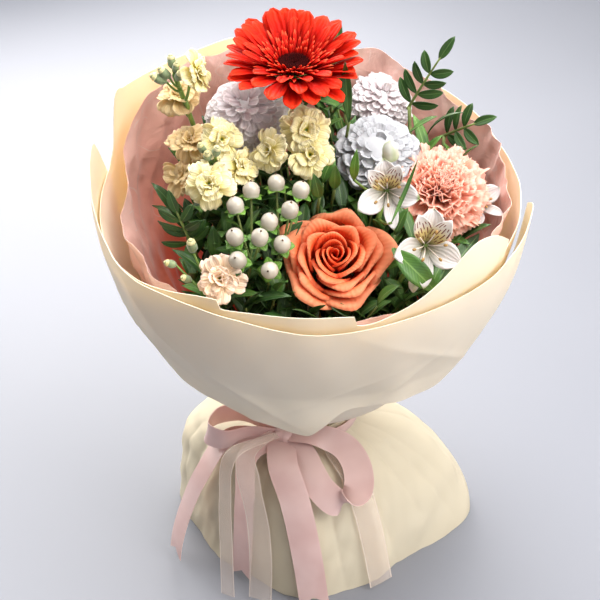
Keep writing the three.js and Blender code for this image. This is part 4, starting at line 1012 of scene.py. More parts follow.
def mum(name, place, facing, radius, count, length, width, skin, seed, fringe, dome, lean, bend):
    """A dome of petals in a sunflower spiral. Each grows from the dome's core, laid back by lean from
    the dome's normal, except at the crown, and bends up by bend on its way, with its tip spooned up.
    The fringe is one or two rings of longer, flatter ones round the foot."""
    rng = np.random.default_rng(seed)
    k = np.arange(count) + 0.5
    polar = np.degrees(np.arccos(1 - 1.02 * k / count))
    core = 0.62 * radius
    share = polar / 91  # from the crown to the dome's foot
    grid = petals(k * GOLDEN_ANGLE + jitter(rng, count, 5),
                  length * radius * (0.72 + 0.42 * share) * (1 + jitter(rng, count, 0.08)),
                  width * radius * (0.8 + 0.3 * share), spoon_shape, root=core * np.sin(np.radians(polar)),
                  lift=dome * radius * np.cos(np.radians(polar)) - 5.5,
                  rise=90 - polar + lean * np.sqrt(np.clip(share / 0.1, 0, 1)) + jitter(rng, count, 8),
                  curl=bend + 12 * share + jitter(rng, count, 12), spoon=20, cup=0.36,
                  twist=jitter(rng, count, 14), rows=8, columns=5)
    parts = [sheet(grid, 0.35, skin, rng.uniform(0, 1, count))]
    for ring, (ring_count, ring_length, ring_width, rise) in enumerate(fringe):
        turn = even(ring_count) + jitter(rng, ring_count, 5) + 13 * ring
        grid = petals(turn, ring_length * radius * (1 + jitter(rng, ring_count, 0.08)), ring_width * radius,
                      strap_shape, root=0.4 * radius, lift=-6.5 + 1.2 * ring,
                      rise=rise + jitter(rng, ring_count, 6), curl=4 + jitter(rng, ring_count, 12), cup=0.35,
                      twist=jitter(rng, ring_count, 15), rows=8, columns=5)
        parts.append(sheet(grid, 0.35, skin, rng.uniform(0, 1, ring_count)))
    base = lathe([(-12, 0), (-11.5, 3.2), (-8, 0.3 * radius), (-4, 0.5 * radius), (4, 0.5 * radius),
                  (0.3 * radius, 0)], 12)
    parts.append(solid(base, skin))
    build(name + "_flower", put(parts, place, facing), [name + "_bloom"])
    stem_under(name, place, facing, 12, 2.2)


mum("mum_left", (-57, 26, 345), (-0.1, -0.45, 0.89), 31, 150, 0.38, 0.27, mum_white, 31,
    ((22, 0.56, 0.2, 8),), 0.56, -54, -10)
mum("mum_back", (38, 74, 331), (0.15, -0.45, 0.87), 25, 130, 0.38, 0.27, mum_white, 32,
    ((20, 0.62, 0.2, 14), (18, 0.56, 0.2, 24)), 0.52, -52, -8)
mum("mum_right", (32, 12, 325), (0.05, -0.42, 0.9), 29, 90, 0.42, 0.32, mum_white_shaded, 33,
    ((12, 0.66, 0.46, 6), (11, 0.6, 0.42, 20)), 0.3, -48, -10)

# ---------------------------------------------------------------- stock
# Sprays of double stock: ruffled cream florets with yellow-green hearts, and grey-green buds, on
# short stalks from a thick stem.
stock_cream = petal_material(
    "stock_cream", [(0.0, "98a020"), (0.24, "d0c448"), (0.5, "ece09c"), (1.0, "f3ecc8")],
    glow=0.28, lit_colour="f8e48c", veins=9, vein_shade=0.06, spread=0.16)
# A darker, warmer copy of the cream for the florets at the far left: painted shade.
stock_cream_shaded = petal_material(
    "stock_cream_shaded", [(0.0, "a89828"), (0.25, "d4b858"), (0.5, "e8cc90"), (1.0, "f0d8ac")],
    glow=0.3, lit_colour="f4d898", veins=9, vein_shade=0.06, spread=0.18)
stock_peach = petal_material(
    "stock_peach", [(0.0, "c0b034"), (0.22, "e4cc74"), (0.46, "f6dcb4"), (1.0, "fbe6d4")],
    glow=0.3, lit_colour="f8cfa0", veins=9, vein_shade=0.05, spread=0.16)
bud_green = plain_material("bud_green", "8d9c72", "62724e", 260, 0.6, sheen=0.3)
bud_cream = plain_material("bud_cream", "efe6b8", "d9cc86", 120, 0.55, glow=0.2)
round_petal = outline((0, 0.22), (0.3, 0.62), (0.65, 1.0), (0.88, 0.95), (1, 0.62))


def floret(rng, place, facing, radius, skin):
    """A double floret: rings of round ruffled petals, the outer ones spread flat and the few inner
    ones small and steep, so that the yellow-green heart shows between them."""
    parts = []
    for count, length, rise, curl, lift in (
            (5, 1.08, 4, 26, 0.0), (5, 0.96, 20, 34, 0.05), (4, 0.62, 42, 44, 0.1), (4, 0.42, 62, 30, 0.12),
            (3, 0.26, 76, 10, 0.12)):
        turn = even(count) + jitter(rng, count, 12) + rng.uniform(0, 90)
        grid = petals(turn, length * radius * (1 + jitter(rng, count, 0.14)),
                      0.96 * radius * (0.5 + 0.5 * length), round_petal, root=0.06 * radius,
                      lift=lift * radius, rise=rise + jitter(rng, count, 16),
                      curl=curl + jitter(rng, count, 26), cup=0.1 + jitter(rng, count, 0.3),
                      ruffle=0.1 * radius * length + jitter(rng, count, 0.02), waves=2.6,
                      phase=rng.uniform(0, 1, count), twist=jitter(rng, count, 30), rows=9, columns=11)
        parts.append(sheet(placed(grid, place, facing), 0.3, skin, rng.uniform(0, 1, count)))
    return parts


def bud(place, facing, length):
    """A bud: an egg in green sepals with its pale tip showing."""
    half = length / 2
    green = lathe([(-half, 0), (-0.8 * half, 0.15 * length), (-0.2 * half, 0.27 * length),
                   (0.5 * half, 0.2 * length), (0.85 * half, 0.12 * length)], 8, 8)
    tip = lathe([(0.1 * half, 0), (0.3 * half, 0.2 * length), (0.7 * half, 0.17 * length), (1.02 * half, 0)],
                7, 8)
    return [solid(placed(green, place, facing), bud_green), solid(placed(tip, place, facing), bud_cream)]


def path_point(path, z):
    """The point of a stem at a height."""
    return np.array([np.interp(z, path[:, 2], path[:, k]) for k in range(3)])


def sprig(start, place, radius, bend=2.0):
    """A thin stalk from a stem to what it carries, bowed a little outward and down."""
    start, place = np.asarray(start, float), np.asarray(place, float)
    t = np.linspace(0, 1, 7)[:, None]
    return tube(start + (place - start) * t - np.array([0, 0, bend]) * np.sin(np.pi * t), radius, 6)


def stock(name, top, florets, buds, seed, press=(0, 0), skin=None, leader=None):
    """A whole spray: its stem, a stalk and floret for each place, and a stalk and bud for each. The
    leader is where the stem itself ends, above its last floret."""
    rng = np.random.default_rng(seed)
    path = stem_path(top, press)
    parts = [solid(stalk(top, 2.7, 1.4, press), stem_green)]
    if leader:
        parts.append(solid(sprig(path_point(path, top[2] - 34), leader, 1.7, -1), stem_green))
        path = np.concatenate([path, [leader]])
    for place, facing, radius in florets:
        start = path_point(path, min(place[2] - 14, top[2] - 1))
        back = behind(place, facing, 0.35 * radius)
        parts.append(solid(sprig(start, back, 1.1), stem_green))
        cup = lathe([(-0.42 * radius, 0.08 * radius), (-0.3 * radius, 0.17 * radius),
                     (0.02 * radius, 0.2 * radius), (0.1 * radius, 0)], 7, 8)
        parts.append(solid(placed(cup, place, facing), stem_green))
        lean = np.asarray(facing, float) + jitter(rng, 3, 0.28)
        # Florets at the far left take the darker copy of the cream as painted shade.
        parts += floret(rng, place, lean, radius, skin or (stock_cream_shaded if place[0] < -90 else stock_cream))
    for place, facing, length in buds:
        start = path_point(path, min(place[2] - 12, path[-1, 2] - 1))
        back = behind(place, facing, 0.46 * length)
        parts.append(solid(sprig(start, back, 0.8), stem_green))
        parts += bud(place, facing, length)
    build(name + "_spray", parts, [name])


stock("stock_top_left", (-96, 12, 362),
      [((-88, 6, 384), (0.75, -0.3, 0.6), 12), ((-102, 24, 358), (-0.1, -0.4, 0.9), 14)],
      [((-108, 6, 384), (-0.6, -0.2, 0.8), 12), ((-103, 8, 391), (-0.1, 0, 1), 11),
       ((-98, 2, 384), (0.3, -0.5, 0.8), 11), ((-112, 6, 380), (-0.8, -0.2, 0.5), 13),
       ((-100, 4, 389), (0.2, -0.2, 0.9), 9)],
      41, (-0.4, -0.5), leader=(-102, 8, 382))
stock("stock_left", (-78, -8, 322),
      [((-94, 2, 336), (-0.3, -0.5, 0.8), 13), ((-72, -12, 345), (0.1, -0.6, 0.8), 13),
       ((-98, -6, 315), (-0.6, -0.6, 0.5), 13), ((-79, -38, 327), (0, -0.7, 0.7), 14),
       ((-60, -20, 330), (0.4, -0.6, 0.7), 12)],
      [((-80, -27, 342), (0, -0.5, 0.8), 11), ((-74, -28, 346), (0.2, -0.4, 0.9), 11),
       ((-84, -22, 345), (-0.3, -0.3, 0.9), 10)], 42)
stock("stock_middle", (-14, -6, 334),
      [((-17, -8, 350), (0.1, -0.6, 0.8), 14.5), ((-14, -18, 337), (0.1, -0.7, 0.7), 14),
       ((-40, -14, 338), (-0.4, -0.7, 0.6), 13)], [], 43, (-0.1, -0.65))
stock("stock_low_left", (-76, -74, 264), [((-71, -82, 284), (0.1, -0.7, 0.7), 13.4)],
      [((-104, -68, 286), (-0.8, -0.3, 0.5), 10), ((-94, -72, 277), (-0.6, -0.4, 0.6), 10),
       ((-90, -62, 296), (-0.1, -0.2, 1), 13)], 44, (-0.4, 0), stock_peach)

# ---------------------------------------------------------------- hypericum
# Glossy white berries, each with a dark tip and a collar of small green sepals, on forked twigs
# with oval leaves.
BERRY_RADIUS = 5.6
berry_white = plain_material("berry_white", "bdb6a8", "aea496", 40, 0.16, glow=0.1, lit_colour="f5e6d0")
berry_tip = plain_material("berry_tip", "6b4a2c", "2f2014", 300, 0.6)
twig_green = plain_material("twig_green", "7c8c48", "5a6a34", 160, 0.55)
leaf_bright = leaf_material("leaf_bright", "6e9a34", "4a7424", "9cbc66")
leaf_deep = leaf_material("leaf_deep", "3c6128", "213f18", "6f9050")
leaf_mid = leaf_material("leaf_mid", "5a8532", "35592a", "86a85c")
oval = outline((0, 0.12), (0.25, 0.75), (0.5, 1.0), (0.8, 0.62), (1, 0.04))


def leaf(root, heading, length, width, rise, curl, twist=0.0, shape=oval, rows=10, columns=7):
    """A single leaf that grows from a point towards a heading in degrees."""
    grid = petals(np.array([heading]), length, width, shape, rise=rise, curl=curl, cup=0.25, twist=twist,
                  rows=rows, columns=columns)
    return grid + np.asarray(root, float)


def hypericum(name, top, berries, leaves, seed):
    """A twig: its stem, a stalk to each berry, the berry in its collar, and the leaves."""
    rng = np.random.default_rng(seed)
    top = np.asarray(top, float)
    parts = [solid(stalk(top, 1.7, 1.3), twig_green)]
    r = BERRY_RADIUS
    for place in np.array(berries, float):
        outward = unit(place - top + np.array([0, -6, 16]))
        seat = place - 0.95 * r * outward
        parts.append(solid(sprig(top - np.array([0, 0, 3]), seat, 0.8, 3), twig_green))
        body = lathe([(-1.0 * r, 0), (-0.92 * r, 0.5 * r), (-0.5 * r, 0.9 * r), (0.05 * r, 1.0 * r),
                      (0.6 * r, 0.78 * r), (0.93 * r, 0.34 * r), (1.06 * r, 0)], 14, 18)
        parts.append(solid(placed(body, place, outward), berry_white, rng.uniform(0.3, 0.8, 1)))
        tip = lathe([(0.98 * r, 0), (1.05 * r, 0.13 * r), (1.14 * r, 0.1 * r), (1.24 * r, 0)], 5, 6)
        parts.append(solid(placed(tip, place, outward), berry_tip))
        collar = petals(even(5) + rng.uniform(0, 72), 8.5, 6.4, oval, root=0.4, lift=-0.98 * r, rise=24,
                        curl=40, cup=0.2, rows=7, columns=5)
        parts.append(sheet(placed(collar, place, outward), 0.3, leaf_bright, rng.uniform(0.3, 1, 5)))
    for root, heading, length, width, rise in leaves:
        parts.append(sheet(leaf(root, heading, length, width, rise, 40), 0.35, leaf_deep,
                           rng.uniform(0.3, 0.8, 1)))
    build(name + "_twig", parts, [name])


hypericum("hypericum_left", (-52, -62, 286),
          [(-62, -50, 319), (-52, -40, 324), (-62, -68, 307), (-46, -70, 308), (-40, -58, 312),
           (-60, -80, 297)],
          [((-52, -62, 285), 160, 26, 11, 25), ((-52, -62, 284), 250, 26, 11, 30),
           ((-52, -60, 283), 60, 24, 10, 50)], 51)
hypericum("hypericum_right", (-34, -50, 284),
          [(-20, -44, 327), (-27, -55, 319), (-32, -66, 300), (-40, -80, 289), (-36, -34, 326)],
          [((-34, -50, 281), 130, 24, 11, 50), ((-34, -50, 282), 40, 26, 11, 60)], 52)

# ---------------------------------------------------------------- alstroemeria
# White Peruvian lilies: three broad outer petals, and three narrow inner ones with a yellow throat
# and short dark red dashes. Curved stamens stand in the throat.
# Both lily colours go grey-green towards the petal root: partly the petals' own green base, partly painted
# shade in the throat.
lily_white = petal_material(
    "lily_white", [(0.0, "98a070"), (0.3, "c4c2b8"), (0.6, "dedad8"), (0.93, "e6e2e2"), (1.0, "9cac6c")],
    glow=0.26, lit_colour="efe6e0", veins=7, vein_shade=0.1, spread=0.14)
lily_stripe, make, send = material("lily_stripe")
u, v = uv_of(make)
base = ramp(make, v, [(0.0, "8c9260"), (0.28, "c8b478"), (0.5, "ead690"), (0.7, "e4dcd2"), (1.0, "e6e2e2")])
across = math(make, "MULTIPLY", u, 6.0)
thin = math(make, "LESS_THAN", off_middle(make, math(make, "FRACT", across)), 0.16)
start = math(make, "SINE", math(make, "MULTIPLY", math(make, "FLOOR", across), 12.9))
row = plus(make, math(make, "MULTIPLY", v, 3.6), start, 1.7)
dash = math(make, "GREATER_THAN", math(make, "PINGPONG", row, 0.5), 0.17)
far = plus(make, 0.78, start, 0.07)
zone = math(make, "MULTIPLY", math(make, "GREATER_THAN", v, 0.26), math(make, "LESS_THAN", v, far))
mark = math(make, "MULTIPLY", math(make, "MULTIPLY", dash, thin), zone)
colour = mixed(make, mark, base, rgb("741812"))
send(lit_through(make, 0.25, make("BsdfPrincipled", Base_Color=colour, Roughness=0.45), colour))
lily_bud, make, send = material("lily_bud")
u, v = uv_of(make)
rib = math(make, "POWER", math(make, "ABSOLUTE", math(make, "SINE", math(make, "MULTIPLY", u, 9.425))), 6.0)
body = ramp(make, v, [(0.0, "9ab070"), (0.4, "dcdcc8"), (0.9, "e4e2dc"), (1.0, "a8b878")])
colour = mixed(make, math(make, "MULTIPLY", rib, 0.5), body, rgb("a4b87c"))
send(lit_through(make, 0.2, make("BsdfPrincipled", Base_Color=colour, Roughness=0.45), colour))
anther = plain_material("anther", "b08a4c", "7a5a2e", 300, 0.7)
filament = plain_material("filament", "f0e4dc", "dccabc", 200, 0.5)
broad_petal = outline((0, 0.18), (0.3, 0.66), (0.6, 1.0), (0.8, 0.82), (0.94, 0.36), (1, 0.03))
slim_petal = outline((0, 0.25), (0.4, 0.8), (0.65, 1.0), (0.88, 0.62), (1, 0.04))
long_leaf = outline((0, 0.16), (0.25, 0.8), (0.5, 1.0), (0.8, 0.6), (1, 0.03))


def blade(root, tip, width, normal, arch, shape):
    """A leaf from its root to its tip: the midline arches towards the normal, and the edges stand up
    by a quarter of the half width."""
    t = np.linspace(0, 1, 14)[:, None]
    root, tip = np.asarray(root, float), np.asarray(tip, float)
    across = unit(np.cross(tip - root, np.asarray(normal, float)))
    out = unit(np.cross(across, tip - root))
    middle = root + (tip - root) * t + arch * np.sin(np.pi * t) * out
    half = (width / 2 * shape(t))[..., None]
    u = np.linspace(-1, 1, 7)[None, :, None]
    return (middle[:, None] - half * u * across + half * 0.25 * u ** 2 * out)[None]


def lily(name, place, facing, turn, leaves, radius, seed, press=(0, 0), buds=()):
    """A flower on its stem, with its leaves and buds. Three broad petals stand at the top and both
    sides, two slim striped ones between them above the throat, and a slim plain one below it."""
    rng = np.random.default_rng(seed)
    sepals = petals(np.array([92.0, 200, 340]) + jitter(rng, 3, 6), 1.22 * radius, 0.74 * radius,
                    broad_petal, root=1.5, lift=1, rise=62 + jitter(rng, 3, 6), curl=50, cup=0.3, ruffle=0.9,
                    waves=1.6, rows=12, columns=9)
    parts = [sheet(sepals, 0.35, lily_white, rng.uniform(0.3, 1, 3))]
    striped = petals(np.array([122.0, 60]) + jitter(rng, 2, 4), 1.26 * radius, 0.52 * radius, slim_petal,
                     root=1.5, lift=2, rise=70 + jitter(rng, 2, 4), curl=42, cup=0.3, rows=12, columns=9)
    parts.append(sheet(striped, 0.35, lily_stripe, rng.uniform(0.3, 1, 2)))
    lowest = petals(np.array([272.0]), 1.3 * radius, 0.42 * radius, slim_petal, root=1.5, lift=2, rise=58,
                    curl=46, cup=0.3, rows=12, columns=9)
    parts.append(sheet(lowest, 0.35, lily_white, 0.8))
    parts.append(solid(lathe([(-15, 0), (-14.6, 1.9), (-9, 2.8), (-3, 3.6), (2, 4.2), (4, 0)], 10, 10),
                       stem_green))
    t = np.linspace(0, 1, 9)[:, None]
    for k in range(6):
        a = np.radians(60 * k + 20 + rng.uniform(-12, 12))
        out = 1 + radius * rng.uniform(0.3, 0.42) * t ** 1.6
        path = np.concatenate([np.cos(a) * out, np.sin(a) * out, 0.85 * radius * t ** 0.9], 1)
        parts.append(solid(tube(path, 0.4, 5), filament))
        pod = lathe([(-1.6, 0), (-1.2, 0.6), (0, 0.95), (1.2, 0.6), (1.6, 0)], 5, 6)
        parts.append(solid(placed(pod, path[-1], (np.cos(a), np.sin(a), 0.3)), anther))
    put(parts, place, facing, turn)
    top = behind(place, facing, 15)
    parts.append(solid(stalk(top, 1.8, 1.8, press), stem_green))
    path = stem_path(top, press)
    for root, tip, width, arch, skin in leaves:
        start = path_point(path, root[2] - 22)
        parts.append(solid(sprig(start, np.array(root), 0.9), stem_green))
        parts.append(sheet(blade(root, tip, width, (-0.1, -0.75, 0.65), arch, long_leaf), 0.35, skin,
                           rng.uniform(0.4, 0.9, 1)))
    for spot, way, length in buds:
        start = path_point(path, min(spot[2], top[2]) - 14)
        back = behind(spot, way, 0.46 * length)
        parts.append(solid(sprig(start, back, 0.9), stem_green))
        egg = lathe([(-length / 2, 0), (-0.45 * length, 0.14 * length), (-0.1 * length, 0.28 * length),
                     (0.25 * length, 0.22 * length), (length / 2, 0)], 12, 12)
        parts.append(solid(placed(egg, spot, way), lily_bud))
    build(name + "_flower", parts, [name])


lily("alstroemeria_upper", (36, -32, 319), (-0.05, -0.9, 0.45), 6,
     [((14, -34, 328), (15, -40, 354), 6, 3, leaf_bright),
      ((37, -62, 313), (53, -45, 349), 2.8, -5, leaf_mid)], 22, 61, (0, 0),
     [((37, -27, 346), (-0.1, -0.3, 0.95), 18)])
lily("alstroemeria_lower", (60, -57, 293), (0.05, -0.88, 0.48), -8,
     [((38, -72, 300), (67, -84, 274), 15, 4, leaf_mid),
      ((71, -60, 263.5), (100, -25, 281), 13, 3, leaf_deep)], 24, 62, (-0.2, 1.7),
     [((52, -80, 279), (-0.1, -0.4, -0.9), 13)])
lily("alstroemeria_right", (98, 4, 284), (0.15, -0.6, 0.75), 60, [], 18, 63)

# ---------------------------------------------------------------- lentisk
# Sprigs of lentisk: dark glossy leaflets in pairs along an arched rib, with one at the tip.
LEAFLET_LENGTH, LEAFLET_WIDTH = 17, 6.6
leaflet_shape = outline((0, 0.14), (0.2, 0.7), (0.5, 1.0), (0.8, 0.72), (0.95, 0.3), (1, 0.03))


def lentisk(name, top, tip, pairs, seed, facing=(0, -0.7, 0.7), press=(0, 0), radius=1.5):
    """A frond: the rib runs from the stem's top to the tip, and each pair of leaflets springs from it
    to both sides and forward. The frond bends back over its length."""
    rng = np.random.default_rng(seed)
    top, tip = np.asarray(top, float), np.asarray(tip, float)
    length = np.linalg.norm(tip - top)
    rib = (tip - top) / length
    across = unit(np.cross(rib, unit(np.asarray(facing, float))))
    out = np.cross(across, rib)
    basis = np.stack([across, rib, out], 1)

    def carried(points):
        """Points of the flat frond, bent back with the square of the way along it, and moved."""
        bent = points + np.stack([0 * points[..., 0], 0 * points[..., 0], -0.0035 * points[..., 1] ** 2], -1)
        return bent @ basis.T + top

    y = np.linspace(-3, length, 12)
    parts = [solid(carried(tube(np.stack([0 * y, y, 0 * y], 1), np.linspace(1.2, 0.7, 12), 6)), twig_green),
             solid(stalk(top, radius, 1.3, press), twig_green)]
    pitch = 0.82 * length / pairs
    k = np.arange(pairs)
    for side, heading in ((1, 38), (-1, 142)):
        grid = petals(heading + jitter(rng, pairs, 9), LEAFLET_LENGTH * 1.18 * (1 - 0.06 * k), LEAFLET_WIDTH,
                      leaflet_shape, root=0.5, rise=16 + jitter(rng, pairs, 12), curl=24, cup=0.3,
                      twist=jitter(rng, pairs, 22), rows=10, columns=7)
        grid = grid + np.stack([0 * k, 3 + k * pitch, 0 * k], 1)[:, None, None]
        parts.append(sheet(carried(grid), 0.35, leaf_deep, rng.uniform(0.35, 1, pairs)))
    last = petals(np.array([90.0]), LEAFLET_LENGTH * 1.05, LEAFLET_WIDTH, leaflet_shape, rise=8, curl=20,
                  cup=0.3, rows=10, columns=7)
    parts.append(sheet(carried(last + np.array([0, length - 2, 0])), 0.35, leaf_deep, 0.7))
    build(name + "_frond", parts, [name])


lentisk("lentisk_upper_right", (56, 57, 334), (71, 44, 374), 4, 71)
lentisk("lentisk_far_right", (81, 49, 315), (98, 34, 333), 3, 72)
lentisk("lentisk_low_left", (-92, -40, 282), (-100, -52, 312), 4, 73, (-0.2, -0.7, 0.6), (1, -3.7))
lentisk("lentisk_back", (-1, 76, 332), (4, 80, 368), 4, 74, radius=2.5)

# ---------------------------------------------------------------- filling leaves
# Leafy shoots of the same plants stand between the blooms and hide the bare middle of the bunch.
# Each grows from the tie and carries pairs of oval or long leaves near its top.
in_sight = np.array([  # bloom centres and their radius, which the shoots leave in sight
    (2, -60, 291, 36), (77, -15, 317, 31), (-57, 26, 345, 29), (32, 10, 327, 29), (38, 74, 334, 26),
    (-25, 25, 378, 46), (36, -32, 319, 20), (60, -58, 287, 22), (98, 4, 284, 14), (-88, 2, 384, 14),
    (-104, 12, 354, 14), (-94, 2, 336, 14), (-72, -12, 345, 14), (-98, -6, 315, 14), (-79, -38, 327, 15),
    (-60, -20, 330, 13), (-17, -8, 350, 15), (-14, -18, 337, 15), (-40, -14, 338, 14), (-70, -82, 285, 16),
    (-104, -68, 280, 12), (-52, -62, 308, 20), (-30, -56, 312, 20)], float)
to_camera = unit(np.array([0, -0.8, 0.6]))


def hides(points, reach, depth=0.6):
    """Whether any of the points lies between the viewer and a bloom, or inside it. reach and depth
    are shares of the bloom's radius, to the side and to the back."""
    way = np.asarray(points, float).reshape(-1, 1, 3) - in_sight[:, :3]
    along = way @ to_camera
    aside = np.linalg.norm(way - along[..., None] * to_camera, axis=-1)
    return bool(((aside < in_sight[:, 3] * reach) & (along > -depth * in_sight[:, 3])).any())


def filling(name, count, seed, shown):
    """Shoots spread over the mouth in a sunflower spiral, their tops a little below the dome that
    the blooms make, which rises to the back and falls away at both sides. A shoot that would hide
    a bloom is shorter, and its leaves that would are left out. shown are single blades, each with
    its root, tip, width and arch."""
    rng = np.random.default_rng(seed)
    parts = []
    for k in range(count):
        share, angle = np.sqrt((k + 0.5) / count), np.radians(GOLDEN_ANGLE * k)
        x = AXIS_X + (94 if np.cos(angle) < 0 else 108) * share * np.cos(angle) + rng.uniform(-4, 4)
        y = -8 + 84 * share * np.sin(angle) + rng.uniform(-4, 4)
        top = np.array([x, y, 314 + 0.52 * y - (x / 120) ** 2 * 38 + rng.uniform(-12, 5)])
        while hides(top + (0, 0, 8), 1.1) and top[2] > 225:
            top[2] -= 5
        girth = through(BOWL, top[2])
        wide = np.hypot((top[0] - AXIS_X) / (MOUTH_X * girth - 26), top[1] / (MOUTH_BACK * girth - 24))
        top[:2] = AXIS_X * np.array([1, 0]) + (top[:2] - (AXIS_X, 0)) / max(wide, 1)
        fine = curve(stem_path(top), 40)
        fine = fine[fine[:, 2] > 190]
        parts.append(solid(tube(fine, np.linspace(1.2, 0.7, len(fine)), 5), twig_green))
        long = rng.uniform() < 0.35
        skin = leaf_mid if rng.uniform() < 0.55 else leaf_deep
        size = rng.uniform(30, 38) if long else rng.uniform(20, 27)
        for level_share in np.linspace(0.55, 1, 4):
            root = fine[int(level_share * (len(fine) - 1))]
            heading = rng.uniform(0, 180)
            for turn in (0, 180):
                grid = leaf(root, heading + turn, size * rng.uniform(0.8, 1.1),
                            (0.26 if long else 0.42) * size, rng.uniform(45, 78), rng.uniform(15, 60),
                            rng.uniform(-25, 25), long_leaf if long else oval, 7, 5)
                tone = rng.uniform(0.1, 1, 1)
                if not hides(grid, 0.92, 0.35):
                    parts.append(sheet(grid, 0.3, skin, tone))
    for root, tip, width, arch, skin in shown:
        parts.append(solid(sprig(np.add(root, (-4, 26, -46)), root, 1.1), twig_green))
        parts.append(sheet(blade(root, tip, width, (0, -0.8, 0.6), arch, long_leaf), 0.3, skin,
                           rng.uniform(0.3, 0.8, 1)))
    build(name, parts)


filling("filling_leaves", 110, 81, (  # a long blade behind, and two short ones over the rose
    ((12, 14, 344), (8, 3, 393), 7, -4, leaf_deep), ((2, -22, 314), (2, -28, 336), 8, 2, leaf_mid),
    ((-8, -30, 312), (-12, -36, 334), 8, 2, leaf_mid)))

# ---------------------------------------------------------------- satin ribbon
# A pink satin ribbon goes round the skirt's neck and is knotted into a bow with two loops and three
# cut tails.
BAND_RADIUS, RIBBON, SATIN_WIDTH, SHEER_WIDTH = 35.4, 0.5, 22.0, 20.0
KNOT_TURN, KNOT_RADIUS, KNOT_SIZE = 238, 40.6, 11.0


def knot_at(radius, z=TIE_HEIGHT):
    """A point on the knot's own azimuth."""
    return round_axis(radius, np.radians(KNOT_TURN), z)


def on_skirt(places):
    """Points that ride off the skirt, from (azimuth, height, clearance)."""
    a, z, clearance = np.array(places, float).T
    radius = skirt_radius(a, z) + clearance
    return round_axis(radius, np.radians(a), z + np.where(z > 80, clearance, 0))


def strip(points, width, across, count, cut=0.0):
    """A ribbon along a smooth line through points. across gives the direction of its breadth at each
    place, its section is crowned a little, and cut slants its last end to a fishtail."""
    path = curve(points, count)
    along = unit(np.gradient(path, axis=0))
    breadth = across(path)
    breadth = unit(breadth - (breadth * along).sum(-1, keepdims=True) * along)
    face = np.cross(along, breadth)
    share = np.linspace(0, 1, count)
    half = (width(share) if callable(width) else np.full(count, width))[:, None, None] / 2
    u = np.linspace(-1, 1, 7)[None, :, None]
    grid = path[:, None] + breadth[:, None] * u * half + face[:, None] * (0.06 * half * (1 - u ** 2))
    slide = cut * np.clip((share - 0.8) / 0.2, 0, 1)[:, None, None] * (np.abs(u) - 0.5)
    return (grid + along[:, None] * slide)[None]


def level(path):
    """Breadth along the skirt's girth, for a tail that hangs down."""
    out = path - np.array([AXIS_X, 0, 0])
    return np.stack([-out[:, 1], out[:, 0], 0 * out[:, 0]], 1)


def cloth_material(name, light, dark, rough, thread, alpha=1.0, glow=0.2, sheen=0.4, lit_colour=None):
    """Woven ribbon: fine threads along and across it, with a bright woven edge and a sheen. With an
    alpha below 1 it is see-through, less so at its edges and where the threads are thick."""
    made, make, send = material(name)
    u, v = uv_of(make)
    long_thread = math(make, "SINE", math(make, "MULTIPLY", u, FULL_TURN * thread))
    cross_thread = math(make, "SINE", math(make, "MULTIPLY", v, FULL_TURN * thread * 6))
    weave = plus(make, math(make, "MULTIPLY", long_thread, 0.5), cross_thread, 0.35)
    edge = math(make, "GREATER_THAN", off_middle(make, u), 0.46)
    colour = tint(make, ramp(make, noise(make, 40, 2), [(0.3, dark), (0.7, light)]),
                  plus(make, 1.0, edge, 0.06))
    normal = bumped(make, weave, 0.25, 0.0001)
    face = make("BsdfPrincipled", Base_Color=colour, Roughness=rough, Normal=normal, Sheen_Weight=sheen,
                Sheen_Roughness=0.35, Anisotropic=0.5, Specular_IOR_Level=0.6)
    cloth = lit_through(make, glow, face, rgb(lit_colour or light), normal)
    if alpha < 1:
        density = math(make, "ADD", alpha, plus(make, math(make, "MULTIPLY", edge, 0.3), weave, 0.08))
        cloth = make("MixShader", density, make("BsdfTransparent").outputs[0], cloth).outputs[0]
    send(cloth)
    return made


satin = cloth_material("satin_ribbon", "e8ccc8", "dab8b4", 0.24, 40, lit_colour="ffd2bc")
sheer = cloth_material("sheer_ribbon", "f1e4da", "e8d8cc", 0.3, 30, alpha=0.3, glow=0.3, sheen=0.3)

knot = knot_at(KNOT_RADIUS)


def loop_width(full):
    """A loop is pinched at the knot and widest half way round."""
    return lambda t: 8 + (full - 8) * np.sin(np.pi * np.clip(t, 0, 1)) ** 0.6


def band():
    """The ribbon round the neck: a low ring, crowned a little, with two soft wrinkles."""
    a = np.linspace(0, 2 * np.pi, 96, endpoint=False)[None, :]
    share = np.linspace(0, 1, 9)[:, None]
    wrinkle = 0.16 * np.sin(3 * np.pi * share + 2 * np.sin(3 * a))
    radius = BAND_RADIUS + 0.6 + 0.35 * np.sin(np.pi * share) + wrinkle
    return round_axis(radius, a, 101.5 + 9 * share)[None]


def knot_body():
    """The knot: a squared ball with the creases of the ribbon pulled over it."""
    theta = np.linspace(0, np.pi, 15)[:, None]
    phi = np.linspace(0, 2 * np.pi, 28, endpoint=False)[None, :]
    n = np.stack(np.broadcast_arrays(np.sin(theta) * np.cos(phi), np.sin(theta) * np.sin(phi),
                                     -np.cos(theta)), -1)
    squared = np.sign(n) * np.abs(n) ** 0.7
    shape = squared * np.array([5.6, 7.4, 5.6]) * (1 + 0.035 * np.cos(9 * n[..., 1:2] * 1.6 + 1))
    return placed(shape, knot, (0, 0, 1), KNOT_TURN)[None]


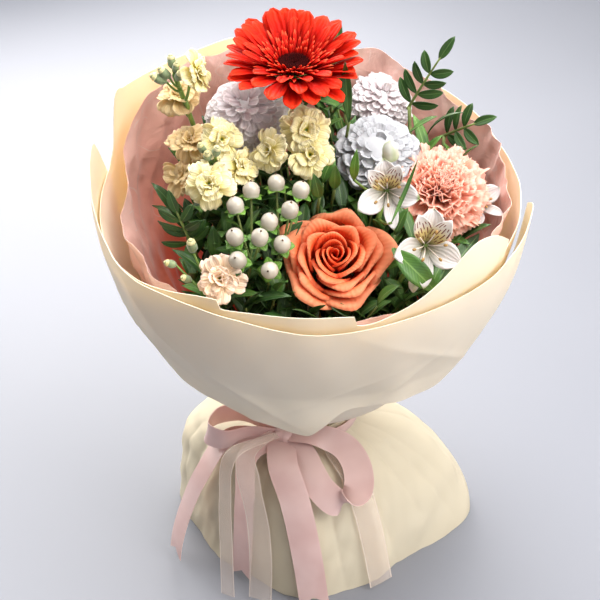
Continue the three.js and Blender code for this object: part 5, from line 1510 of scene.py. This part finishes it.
left_loop = [knot + (-3, 2, 0), (-60, -36, 109), (-79, -42, 109), (-91, -34, 109), (-86, -21, 111),
             (-68, -15, 112), knot + (-3, 5, 0)]
right_loop = [knot + (2, -3, -1), (-18, -50, 104), (-12, -66, 100), (-4, -79, 92), (8, -84, 85),
              (21, -76, 88), (22, -63, 98), (13, -50, 108), (-3, -44, 113), knot + (4, -3, 2)]
tails = [
    ([(206, 93, 7), (209, 78, 10), (208, 50, 13), (209, 14, 24), (209, 7, 25)], SATIN_WIDTH - 4),
    ([(226, 93, 7), (234, 78, 6), (237, 50, 5), (237, 7, 5)], SATIN_WIDTH - 5),
    ([(252, 93, 9), (261, 82, 6), (267, 56, 5), (271, 7, 5)], SATIN_WIDTH),
]
strips = [strip(left_loop, loop_width(SATIN_WIDTH), lambda p: np.tile([0.2, -0.15, 0.97], (len(p), 1)), 70),
          strip(right_loop, loop_width(SATIN_WIDTH), lambda p: np.tile([0.94, 0.2, 0.28], (len(p), 1)), 90)]
strips += [strip([knot + (-1, -1, -2), *on_skirt(places)], width, level, 50, cut=7)
           for places, width in tails]
parts = [sheet(grid, RIBBON, satin) for grid in strips]
parts.append(sheet(band(), RIBBON, satin, wrap=True))
parts.append(solid(knot_body(), satin))
satin_bow = build("satin_bow", parts, ["satin_ribbon"], sharp=60)


# ---------------------------------------------------------------- sheer ribbon
# Two tails of a sheer ribbon hang from the front of the knot and one from the band at its right.
# They are see-through, with a denser woven edge, and they are left plain.
face_radius = KNOT_RADIUS + KNOT_SIZE / 2 + 0.65
band_radius = BAND_RADIUS + 1.85
for name, node, width, pinched, start, places in (
        ("sheer_tail_front", "sheer_tail_middle", SHEER_WIDTH - 2, 7,
         knot_at(face_radius + 0.15, 111) + (-4.2, 2.6, 0),
         [(231, 92, 15), (239, 83, 14), (246, 67, 12), (249, 42, 13), (250, 5, 16)]),
        ("sheer_tail_twisted", "sheer_tail_left", 12, 6, knot_at(face_radius + 1.5, 112.5),
         [(226, 91, 19), (229, 77, 18), (234, 48, 19), (238, 4, 26)]),
        ("sheer_tail_side", "sheer_tail_right", SHEER_WIDTH, 12,
         round_axis(band_radius, np.radians(288), 107),
         [(290, 98, 4), (297, 84, 5), (299, 70, 4), (300, 44, 4), (301, 4, 8)])):
    grid = strip([start, *on_skirt(places)], lambda t: pinched + (width - pinched) * np.minimum(1, t / 0.3),
                 level, 50)
    tail = build(name, [sheet(grid, 0.25, sheer)], [node], sharp=60)
    length = float(np.linalg.norm(np.diff(grid[0, :, 3], axis=0), axis=-1).sum()) * MM
